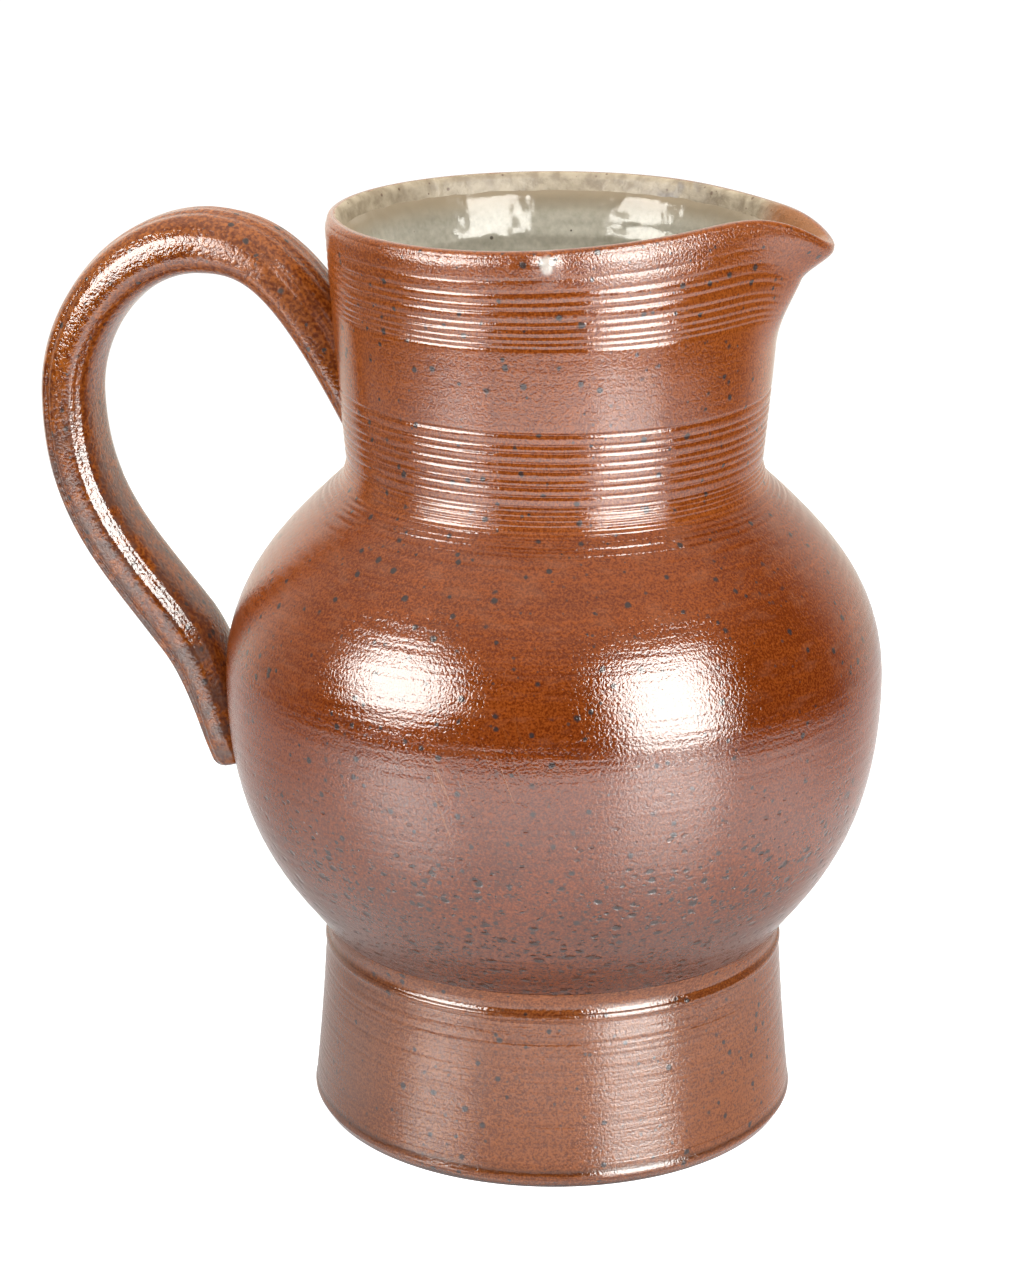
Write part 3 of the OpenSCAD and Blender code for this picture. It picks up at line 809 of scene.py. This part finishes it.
def collar_stretches():
    wall = FOOT_SWEEP[FOOT_SWEEP[:, 1] <= COLLAR_Z]
    return [
        stretch([(BOSS_R, FOOT_H - COLLAR_SUNK), wall[0]], step=1.0),
        stretch(wall, step=0.3),
        stretch([wall[-1], (BOSS_R, wall[-1][1]), (BOSS_R, FOOT_H)], step=1.0),
    ]


# Belly

# How far the belly's two curves pull at their ends, as shares of their heights
LOW_PULLS, UP_PULLS = (0.26, 0.58), (0.45, 0.46)
BELLY_FOOT = np.array([BELLY_FOOT_R, COLLAR_Z])
BELLY_WIDEST = np.array([BELLY_R, BELLY_Z])
BELLY_TOP = np.array([NECK_BASE_R, NECK_Z])
BELLY_LOW = [
    BELLY_FOOT,
    BELLY_FOOT + toward(BELLY_FOOT_SLOPE, BELLY_LOW_H * LOW_PULLS[0]),
    BELLY_WIDEST - (0, BELLY_LOW_H * LOW_PULLS[1]),
    BELLY_WIDEST,
]
BELLY_UP = [
    BELLY_WIDEST,
    BELLY_WIDEST + (0, BELLY_UP_H * UP_PULLS[0]),
    BELLY_TOP + toward(-SHOULDER_SLOPE, BELLY_UP_H * UP_PULLS[1]),
    BELLY_TOP,
]

# The hollow sweep from the foot's seat into the belly, which the collar starts and the belly ends
SWEEP_TO = np.array(0.15)
SWEEP_WAY = bez_slope(BELLY_LOW, SWEEP_TO) / np.linalg.norm(bez_slope(BELLY_LOW, SWEEP_TO))
SWEEP_END = bez(BELLY_LOW, SWEEP_TO)
SWEEP_START, SWEEP_HOLLOW, SWEEP_PULL = (SEAT_R + 0.75, FOOT_H - 0.1), (SEAT_R - 1.0, FOOT_H + 2.4), 7.0
FOOT_SWEEP = bez(
    [SWEEP_START, SWEEP_HOLLOW, SWEEP_END - SWEEP_PULL * SWEEP_WAY, SWEEP_END], np.linspace(0, 1, 120))
BELLY_SIDE = np.concatenate([
    FOOT_SWEEP[FOOT_SWEEP[:, 1] > COLLAR_Z],
    bez(BELLY_LOW, np.linspace(SWEEP_TO, 1, 300))[1:],
    bez(BELLY_UP, np.linspace(0, 1, 300))[1:],
])

# Where the neck's apron starts, a little inside the shoulder
APRON_FROM, APRON_SUNK = np.array(0.93), 0.15
APRON_FOOT = inset(BELLY_UP, APRON_FROM, APRON_SUNK)

# The turn from the floor up into the inner side: where it ends, and how far it pulls at both ends
TURN_UP_TO = np.array(0.3)
FLOOR_PULL, SIDE_PULL = 14, 12

# The parts of the belly's two curves that the inner face follows
INNER_LOW, INNER_UP = (0.33, 1), (0.03, 0.95)


def scored(points):
    """The rings round the shoulder."""
    return np.where(points[:, 1] > RINGS_FROM, cuts(points[:, 0], SHOULDER_RINGS), 0)


def bowl(lining):
    """The belly's inner face from the middle of the floor up to the neck, with a depth of lining on it."""
    depth = BELLY_WALL + lining
    floor_z = FOOT_H + FLOOR_T + lining
    side = inset(BELLY_LOW, TURN_UP_TO, depth)
    rise = bez_slope(BELLY_LOW, TURN_UP_TO)
    rise = rise / np.linalg.norm(rise)
    turn_up = [(FLOOR_FLAT_R, floor_z), (FLOOR_FLAT_R + FLOOR_PULL, floor_z), side - SIDE_PULL * rise, side]
    return np.concatenate([
        [(0.0, floor_z)],
        bez(turn_up, np.linspace(0, 1, 24)),
        inset(BELLY_LOW, np.linspace(*INNER_LOW, 40), depth),
        inset(BELLY_UP, np.linspace(*INNER_UP, 40), depth),
        [(THROAT_R - lining, NECK_Z)],
    ])


def belly_stretches():
    return [
        stretch([(0, FOOT_H), (BOSS_R, FOOT_H), (BOSS_R, BELLY_SIDE[0][1]), BELLY_SIDE[0]], step=2.0),
        stretch(BELLY_SIDE, step=0.4, line=1.0, comb=scored),
        stretch([BELLY_TOP, (THROAT_R, NECK_Z)], step=1.0),
        stretch(bowl(0.0)[::-1], step=3.0),
    ]


# Neck and lining

# The apron smoothed on to the shoulder: its height, its pull at both ends, and the inset of its underside
APRON_H, APRON_PULL, NECK_PULL, APRON_IN = 5, 3.2, 3.4, 0.5


def neck_r(z):
    s = (z - NECK_Z) / NECK_H
    return NECK_BASE_R + (RIM_R - NECK_BASE_R) * s + 4 * NECK_SWELL * s * (1 - s)


def wall_t(z):
    drop = RIM_Z - z
    low = np.interp(drop, [THICK_DROP, NECK_H], [THICK_WALL, NECK_WALL])
    return RIM_WALL + (low - RIM_WALL) * np.clip((drop - RIM_KEEPS) / (THICK_DROP - RIM_KEEPS), 0, 1)


def outer_r(z):
    """The outer wall, which draws in a little as it nears the rim."""
    return neck_r(z) - RIM_IN * np.clip((z - RIM_Z + RIM_IN_DROP) / RIM_IN_RUN, 0, 1) ** 2


def inner_r(z):
    return neck_r(z) - wall_t(z)


def outer_pull(points):
    drop = RIM_Z - points[:, 1]
    return 1 - (ease((drop - LIP_FROM) / LIP_FADE) + ease((drop - SPOUT_FROM) / SPOUT_FADE)) / 2


def inner_pull(points):
    return np.exp(-(RIM_Z - points[:, 1]) / INNER_FADE)


def share_in(points):
    """How far across the wall a point of the rim is, from the outer face to the inner."""
    outer = outer_r(points[:, 1])
    return (outer - points[:, 0]) / (outer - inner_r(points[:, 1]))


def rim_pull(points):
    s = share_in(points)
    return (1 - s) * outer_pull(points) + s * inner_pull(points)


def rim_rise(points):
    return ease((points[:, 1] - LIFT_FROM) / (RIM_Z - LIFT_FROM))


def combed(points):
    z = points[:, 1]
    return grooves(z - NECK_Z, LOW_COMB, COMB_TOOTH) + grooves(RIM_Z - z, HIGH_COMB, COMB_TOOTH)


def comb_near(points):
    return (points[:, 1] > LIFT_FROM).astype(float)


def comb_fade(points):
    return np.interp(RIM_Z - points[:, 1], [HIGH_COMB[0][0], HIGH_COMB[-1][0]], COMB_FADE)


def joint_scored(points):
    """The shoulder's rings, and the finer lines left where the neck was smoothed on to it."""
    return scored(points) + grooves(points[:, 1] - NECK_Z, JOINT_LINES, JOINT_TOOTH)


def neck_stretches():
    z = np.linspace(NECK_Z + APRON_H, RIM_Z - RIM_ROUND, 400)
    outer = np.stack([outer_r(z), z], -1)
    apron_pull = APRON_FOOT + toward(180 - SHOULDER_SLOPE, APRON_PULL)
    apron = bez([APRON_FOOT, apron_pull, outer[0] - (0, NECK_PULL), outer[0]], np.linspace(0, 1, 40))
    turn = np.radians(np.linspace(0, 180, 25))
    z = RIM_Z - RIM_ROUND * (1 - np.sin(turn))
    across = (1 - np.cos(turn)) / 2
    rim = np.stack([outer_r(z) - across * (outer_r(z) - inner_r(z)), z], -1)
    z = np.linspace(RIM_Z - RIM_ROUND, NECK_Z, 60)
    inner = np.stack([inner_r(z), z], -1)
    comb = {"comb": combed, "near": comb_near, "fade": comb_fade}
    return [
        stretch(apron, step=0.12, line=0.5, comb=joint_scored),
        stretch(outer, step=0.22, pull=outer_pull, rise=rim_rise, line=0.25, **comb),
        stretch(rim, step=0.2, pull=rim_pull, rise=rim_rise, inside=share_in),
        stretch(inner, step=1.0, pull=inner_pull, rise=rim_rise, inside=1.0),
        stretch([(THROAT_R, NECK_Z), (NECK_BASE_R - APRON_IN, NECK_Z), APRON_FOOT], step=2.0),
    ]


def lining_stretches():
    top_z = RIM_Z - LINING_DROP

    def near_top(z, reach):
        return np.clip((z - top_z + reach) / reach, 0, 1)

    def side(depth):
        z = np.linspace(NECK_Z, top_z, 160)
        poured_t = LINING_LEAST + (depth - LINING_LEAST) * (1 - near_top(z, LINING_THINS) ** 2)
        return np.stack([inner_r(z) - poured_t, z], -1)

    def wavers(points):
        return ease(near_top(points[:, 1], LINING_WAVERS))

    def browns(points):
        return near_top(points[:, 1], LINING_BROWNS)

    marks = {"pull": inner_pull, "rise": rim_rise, "edge": wavers, "inside": browns}
    return [
        stretch(bowl(LINING_LEAST), step=3.0),
        stretch(side(LINING_LEAST), step=1.5, **marks),
        stretch(side(LINING_T)[::-1], step=0.5, **marks),
        stretch(bowl(LINING_T)[::-1], step=1.2),
    ]


# Handle: a pulled strap, lofted along its path

ROOT_Z, CROWN_Z, BEND_Z, TAIL_Z = NECK_Z + 30.0, RIM_Z - 11.5, BELLY_Z + 6.0, BELLY_Z - 30.5
GRIP_Z, GRIP_OUT, CROWN_OUT, BEND_OUT = BELLY_Z + 70.0, 46.0, 35.0, 16.0
ROOT_SLOPE, ROOT_SUNK, BEND_SLOPE, TAIL_SLOPE = 117, 30, -52, -72

# The strap's thickness at its tail, and the share of it that the middle stands off the belly
TAIL_T, TAIL_OFF = 12.5, 0.38


def belly_out(z):
    return np.interp(z, BELLY_SIDE[:, 1], BELLY_SIDE[:, 0])


ROOT = np.array([-neck_r(ROOT_Z), ROOT_Z]) + toward(ROOT_SLOPE - 180, ROOT_SUNK)
CROWN = np.array([-neck_r(CROWN_Z) - CROWN_OUT, CROWN_Z])
GRIP = np.array([-BELLY_R - GRIP_OUT, GRIP_Z])
BEND = np.array([-belly_out(BEND_Z) - BEND_OUT, BEND_Z])
TAIL = np.array([-belly_out(TAIL_Z) - TAIL_T * TAIL_OFF, TAIL_Z])

# The path's legs: each has its start, the pulls from the start and to the end, and its end
STRAP_PATH = (
    (ROOT, ROOT + toward(ROOT_SLOPE, 50), CROWN + (18, 0), CROWN),
    (CROWN, CROWN - (20, 0), GRIP + (0, 24), GRIP),
    (GRIP, GRIP - (0, 30), BEND + toward(BEND_SLOPE + 180, 28), BEND),
    (BEND, BEND + toward(BEND_SLOPE, 12), TAIL + toward(TAIL_SLOPE + 180, 14), TAIL),
)
STRAP_END = len(STRAP_PATH)

# Places along the path, and the strap's thickness and width at each
STRAP_STOPS = (0, 0.6, 1, 2, 3, 3.8, 4)
STRAP_T = (15.5, 15.5, 17.0, 14.8, 16.5, TAIL_T, 11.9)
STRAP_W = (27.0, 27.0, 24.0, 24.0, 24.0, 27.0, 24.3)

# The section is a squared round and wider on the hand's side than on its back. The path's last part draws in
STRAP_POWER, STRAP_WEDGE = 0.76, 0.22
TAIL_FROM, TAIL_RUN, TAIL_IN = 3.93, 0.07, 0.3

# Flutes drawn down the strap's sides and its back: place across, depth and half width
SIDE_FLUTES = ((0.09, 0.25, 0.03), (0.25, 1.3, 0.055), (0.82, 0.8, 0.07))
BACK_FLUTES = ((-0.42, 0.45, 0.16), (0.05, 0.3, 0.14), (0.48, 0.45, 0.16))

# How deep the side flutes are along the path, and how they run out towards the back and the front
FLUTE_STOPS = (0.3, 0.8, 1.5, 2.0, 3.3, 3.9)
FLUTE_SHARE = (0.75, 0.15, 0.15, 1.0, 1.0, 0.4)
FLUTE_POWER = 0.6

# Steps along the path to find the clay's face, with the last one near the root and the first near the tail
PATH_STEPS, ROOT_STEPS, TAIL_STEPS = 1601, 500, 1000

# How deep the tail's end lies in the belly, and how fine the drawn lines are round and along the strap
TAIL_SUNK, DRAWN_ROUND, DRAWN_ALONG = 2, 9, 3.2


def squared(x):
    return np.sign(x) * np.abs(x) ** STRAP_POWER


def strap_points(s, a):
    """Points of the strap at path places s and section angles a, both arrays of one shape."""
    leg = np.minimum(np.floor(s), STRAP_END - 1).astype(int)
    path = np.moveaxis(np.array(STRAP_PATH)[leg], -2, 0)
    middle = bez(path, s - leg)
    side = out_of(bez_slope(path, s - leg))
    half_t = np.interp(s, STRAP_STOPS, STRAP_T) / 2
    half_w = np.interp(s, STRAP_STOPS, STRAP_W) / 2
    rounding = np.sqrt(1 - TAIL_IN * np.clip((s - TAIL_FROM) / TAIL_RUN, 0, 1) ** 2)
    c, n = np.cos(a), np.sin(a)
    u, v = squared(c), squared(n)
    across = (1 - u) / 2
    cut_v = cuts(across, SIDE_FLUTES) * np.abs(n) ** FLUTE_POWER * np.interp(s, FLUTE_STOPS, FLUTE_SHARE)
    cut_u = cuts(v, BACK_FLUTES) * np.clip(c, 0, 1)
    off = (half_t * u - cut_u) * rounding
    y = (half_w - cut_v) * v * rounding * (1 + STRAP_WEDGE * (across - 0.5))
    return np.stack([middle[..., 0] + side[..., 0] * off, y, middle[..., 1] + side[..., 1] * off], -1)


def strap_mesh(rows=280, columns=112, bury=0.7):
    """Each line along the strap runs from inside the neck's face to inside the belly's, or to the cut end."""
    angles = np.linspace(0, 2 * math.pi, columns, endpoint=False)
    fine = np.linspace(0, STRAP_END, PATH_STEPS)
    points = strap_points(*np.meshgrid(fine, angles, indexing="ij"))
    body = np.where(points[..., 2] >= NECK_Z, neck_r(points[..., 2]), belly_out(points[..., 2]))
    gap = np.hypot(points[..., 0], points[..., 1]) - body + bury

    def crossing(i, j):
        """Where line j meets the buried face, between steps i and i + 1."""
        return fine[i] + (fine[1] - fine[0]) * gap[i, j] / (gap[i, j] - gap[i + 1, j])

    first, last = np.zeros(columns), np.full(columns, float(STRAP_END))
    for j in range(columns):
        first[j] = crossing(np.nonzero(gap[:ROOT_STEPS, j] < 0)[0][-1], j)
        pressed = np.nonzero(gap[TAIL_STEPS:, j] < 0)[0]
        if len(pressed):
            last[j] = crossing(TAIL_STEPS + pressed[0] - 1, j)
    s = first + (last - first) * np.linspace(0, 1, rows)[:, None]
    grid = strap_points(s, np.broadcast_to(angles, s.shape))
    root_middle, tail_z = grid[0].mean(0), grid[-1].mean(0)[2]
    tail_middle = np.array([-belly_out(tail_z) + TAIL_SUNK, 0, tail_z])
    vertices = np.concatenate([grid.reshape(-1, 3), [root_middle, tail_middle]]) * MM

    faces = []
    root, tail, last_row = rows * columns, rows * columns + 1, (rows - 1) * columns
    for j in range(columns):
        k = (j + 1) % columns
        for i in range(0, last_row, columns):
            faces.append((i + j, i + k, i + columns + k, i + columns + j))
        faces.append((root, k, j))
        faces.append((tail, last_row + j, last_row + k))
    mesh = bpy.data.meshes.new("handle")
    mesh.from_pydata([tuple(v) for v in vertices], [], faces)
    mesh.polygons.foreach_set("use_smooth", np.ones(len(faces), bool))

    # The place along and round the strap, for the lines that were drawn down it
    run = np.concatenate([s.ravel(), [0, STRAP_END]]) * DRAWN_ALONG
    turn = np.concatenate([np.tile(angles, rows), [0, 0]])
    drawn = np.stack([np.cos(turn) * DRAWN_ROUND, np.sin(turn) * DRAWN_ROUND, run], -1).astype(np.float32)
    mesh.attributes.new("drawn", "FLOAT_VECTOR", "POINT").data.foreach_set("vector", drawn.ravel())
    return mesh


# Table, studio and camera. Angles are to the right of the camera and above level, and lengths are in metres

CAMERA_TURN = 12.0
POT_MIDDLE = Vector((0, 0, 0.13))
LENS, SENSOR = 95.3, 36.0
EYE, EYE_WAY = (0.1807, -0.8501, 0.4149), (-0.2097, 0.9272, -0.3105)

# Lamps that show in the glaze and lamps that light it: place, shape, width, height and radiance
LEFT_LAMP, RIGHT_LAMP, TOP_LAMP = (-56, 21.0, 1.15), (40, 18, 1.15), (0, 86, 1.3)
LAMPS = (
    ("left_lamp_shine", LEFT_LAMP, "ELLIPSE", 0.80, 0.70, 24.0),
    ("right_lamp_shine", RIGHT_LAMP, "RECTANGLE", 0.68, 0.93, 27.0),
    ("left_lamp_light", LEFT_LAMP, "ELLIPSE", 0.88, 0.76, 4.3),
    ("right_lamp_light", RIGHT_LAMP, "RECTANGLE", 0.72, 1.0, 5.05),
    ("top_lamp_light", TOP_LAMP, "RECTANGLE", 1.6, 1.6, 2.65),
)
WARM, WHITE = (1.0, 0.985, 0.94), (1.0, 1.0, 1.0)

# The table's paper: its size, its white, and the shaded white far out on the right
TABLE_R, TABLE_STEP = 0.68, 3
PAPER, PAPER_SHADED, PAPER_ROUGH = (0.66, 0.66, 0.66), (0.20, 0.20, 0.20), 0.14
SHADED_RIGHT, SHADED_FRONT = (0.50, 0.60), (0.15, 0.35)

# Its shine, what it loses where the slant to the left is steep, and how bright the camera sees it
PAPER_SPECULAR, PAPER_DULLED, DULLED_SLANT = 0.7, 0.52, (1.04, 1.6)
PAPER_TO_CAMERA = 0.8

# The least distance in front that a slant is measured with
LEAST_FAR = 0.01

# Light on the table in front of the pot, and its share that is lost on both sides
FRONT_GLOW, FRONT_RISE = 3.4, (-0.04, 0.34)
RIGHT_LOST, RIGHT_FALL = 0.45, (0.24, 0.5)
LEFT_LOST, LEFT_RISE = 0.5, (-0.56, -0.44)

# Light beside the pot: strength, rise and fall from left to right, and its middle and spread in front
SIDE_GLOWS = (
    (1.25, (0.12, 0.22), (0.48, 0.56), 0.06, 0.12),
    (0.35, (-0.35, -0.25), (-0.10, -0.06), 0.03, 0.05),
)

# Light far out in front: strength, its middle and spread from left to right, and where it rises
FAR_GLOW, FAR_MIDDLE, FAR_SPREAD, FAR_RISE = 2.7, 0.26, 0.17, (0.34, 0.48)

# Pools of light that the lamps throw on the table: angle, half width as a slope, and strength
POOLS = ((-48.0, 0.20, 0.15), (38.0, 0.28, 0.25))
POOL_EDGE, POOL_RISE = (0.7, 1.3), (0.05, 0.12)

# The studio as the glaze shows it: the paper behind, the ceiling, the wall on the left and the rest
PAPER_SHINE, CEILING_SHINE, WALL_SHINE, ROOM_SHINE = 0.9, 1.0, 0.5, 0.08
BEHIND_RISE, BEHIND_TOP, CEILING_RISE = (0.35, 0.75), (0.45, 0.70), (0.45, 1.0)
WALL_AT, WALL_RISE = (-130, 38), (0.45, 0.85)
STUDIO_TINT = (1.0, 0.95, 0.84)
SEEN_STUDIO, FILL_LIGHT = 1.1, 0.45


def way_to(azimuth, elevation=0):
    a, e = math.radians(azimuth + CAMERA_TURN), math.radians(elevation)
    return Vector((math.sin(a) * math.cos(e), -math.cos(a) * math.cos(e), math.sin(e)))


def along(place, azimuth, elevation=0):
    """How far a place lies along a way."""
    return vectors("DOT_PRODUCT", place, tuple(way_to(azimuth, elevation)), "Value")


def band(value, rise, fall):
    return step_up(value, *rise) * (1.0 - step_up(value, *fall))


def light_path(tree, kind):
    return node(tree, "ShaderNodeLightPath", None, kind)


def table_glow(place, front, right):
    """Light on the table's paper, by how far it is in front and to the right of the pot."""
    glow = step_up(front, *FRONT_RISE) * (1.0 - step_up(right, *RIGHT_FALL) * RIGHT_LOST) * FRONT_GLOW
    glow = glow * (step_up(right, *LEFT_RISE) * LEFT_LOST + (1 - LEFT_LOST))
    for strength, rise, fall, middle, spread in SIDE_GLOWS:
        glow = glow + band(right, rise, fall) * hump(front - middle, spread) * strength
    glow = glow + hump(right - FAR_MIDDLE, FAR_SPREAD) * step_up(front, *FAR_RISE) * FAR_GLOW
    for turn, half, strength in POOLS:
        far = along(place, turn)
        slant = along(place, turn + 90).math("ABSOLUTE") / far.math("MAXIMUM", LEAST_FAR)
        inside = 1.0 - step_up(slant, *(half * edge for edge in POOL_EDGE))
        glow = glow + inside * step_up(far, *POOL_RISE) * strength
    return glow


def table():
    """A round white table top, which stands under the pot and shows in the glaze."""
    mesh = bpy.data.meshes.new("table_top")
    turns = [math.radians(d) for d in range(0, 360, TABLE_STEP)]
    ring = [(TABLE_R * math.cos(t), TABLE_R * math.sin(t), 0.0) for t in turns]
    mesh.from_pydata(ring, [], [tuple(range(len(ring)))])
    white = bpy.data.materials.new("white_table_paper")
    white.use_nodes = True
    tree = white.node_tree
    paper = tree.nodes["Principled BSDF"].inputs
    place = node(tree, "ShaderNodeTexCoord", None, "Object")
    front, right = along(place, 0), along(place, 90)
    shaded = step_up(right, *SHADED_RIGHT) * (1.0 - step_up(front, *SHADED_FRONT))
    dulled = step_up(right * -1.0 / front.math("MAXIMUM", LEAST_FAR), *DULLED_SLANT)
    bounced, seen = light_path(tree, "Is Diffuse Ray"), light_path(tree, "Is Camera Ray")
    plug(tree, paper["Base Color"], mix(shaded, PAPER, PAPER_SHADED))
    plug(tree, paper["Roughness"], PAPER_ROUGH)
    plug(tree, paper["Specular IOR Level"], PAPER_SPECULAR - dulled * PAPER_DULLED)
    plug(tree, paper["Emission Color"], WHITE)
    glow = table_glow(place, front, right) * (1.0 - bounced)
    plug(tree, paper["Emission Strength"], glow + seen * PAPER_TO_CAMERA)
    mesh.materials.append(white)
    top = placed("table_top", mesh)


def lamp(name, place, shape, width, height, radiance):
    """A soft lamp that faces the pot. It either shows in the glaze or lights it."""
    shows = name.endswith("shine")
    light = bpy.data.lights.new(name, "AREA")
    light.shape = shape
    light.size, light.size_y = width, height
    area = width * height * (math.pi / 4 if shape == "ELLIPSE" else 1)
    light.energy = radiance * math.pi * area
    light.color = WARM if shows else WHITE
    azimuth, elevation, far = place
    lit = placed(name, light)
    lit.location = way_to(azimuth, elevation) * far + POT_MIDDLE
    lit.rotation_euler = (POT_MIDDLE - lit.location).to_track_quat("-Z", "Y").to_euler()
    lit.visible_camera = False
    lit.visible_glossy = shows
    lit.visible_diffuse = not shows


def studio():
    for row in LAMPS:
        lamp(*row)
    world = bpy.data.worlds.new("white_studio")
    bpy.context.scene.world = world
    world.use_nodes = True
    tree = world.node_tree
    tree.nodes.clear()
    way = node(tree, "ShaderNodeTexCoord", None, "Generated")
    up = split(way)[2]
    behind = step_up(along(way, 180), *BEHIND_RISE) * (1.0 - step_up(up, *BEHIND_TOP))
    ceiling = step_up(up, *CEILING_RISE)
    wall = step_up(along(way, *WALL_AT), *WALL_RISE)
    shine = behind * PAPER_SHINE + ceiling * CEILING_SHINE + wall * WALL_SHINE + ROOM_SHINE
    seen, bounced = light_path(tree, "Is Camera Ray"), light_path(tree, "Is Diffuse Ray")
    strength = seen * SEEN_STUDIO + bounced * FILL_LIGHT + (1.0 - seen - bounced) * shine
    tint = mix(clamped(seen + bounced), STUDIO_TINT, WHITE)
    sky = node(tree, "ShaderNodeBackground", {"Color": tint, "Strength": strength})
    plug(tree, tree.nodes.new("ShaderNodeOutputWorld").inputs["Surface"], sky)


def camera():
    lens = bpy.data.cameras.new("photo_camera")
    lens.lens, lens.sensor_width = LENS, SENSOR
    eye = placed("photo_camera", lens)
    eye.location = EYE
    eye.rotation_euler = Vector(EYE_WAY).to_track_quat("-Z", "Y").to_euler()
    bpy.context.scene.camera = eye
    bpy.context.scene.view_settings.view_transform = "Standard"


# The pot on its table

BEAD_OUT = 0.6 * MM
body_glaze, neck_glaze, strap_glaze, foot_glaze = map(brown_salt_glaze, ("body", "neck", "strap", "foot"))
lining_glaze = grey_lining_glaze()

thrown("foot_ring", foot_stretches(), foot_glaze, "foot_glaze", Seed=2.0)
thrown("foot_collar", collar_stretches(), foot_glaze, "foot_glaze", Seed=3.0)
thrown("belly", belly_stretches(), body_glaze, "brown_glaze", Turns=180, Seed=4.0)
thrown("neck", neck_stretches(), neck_glaze, "brown_glaze", Turns=192, Bead=BEAD_OUT, Seed=5.0)
thrown("lining", lining_stretches(), lining_glaze, "grey_glaze", Turns=192, Seed=6.0)
strap = strap_mesh()
strap.materials.append(strap_glaze)
settled("handle", strap)

table()
studio()
camera()
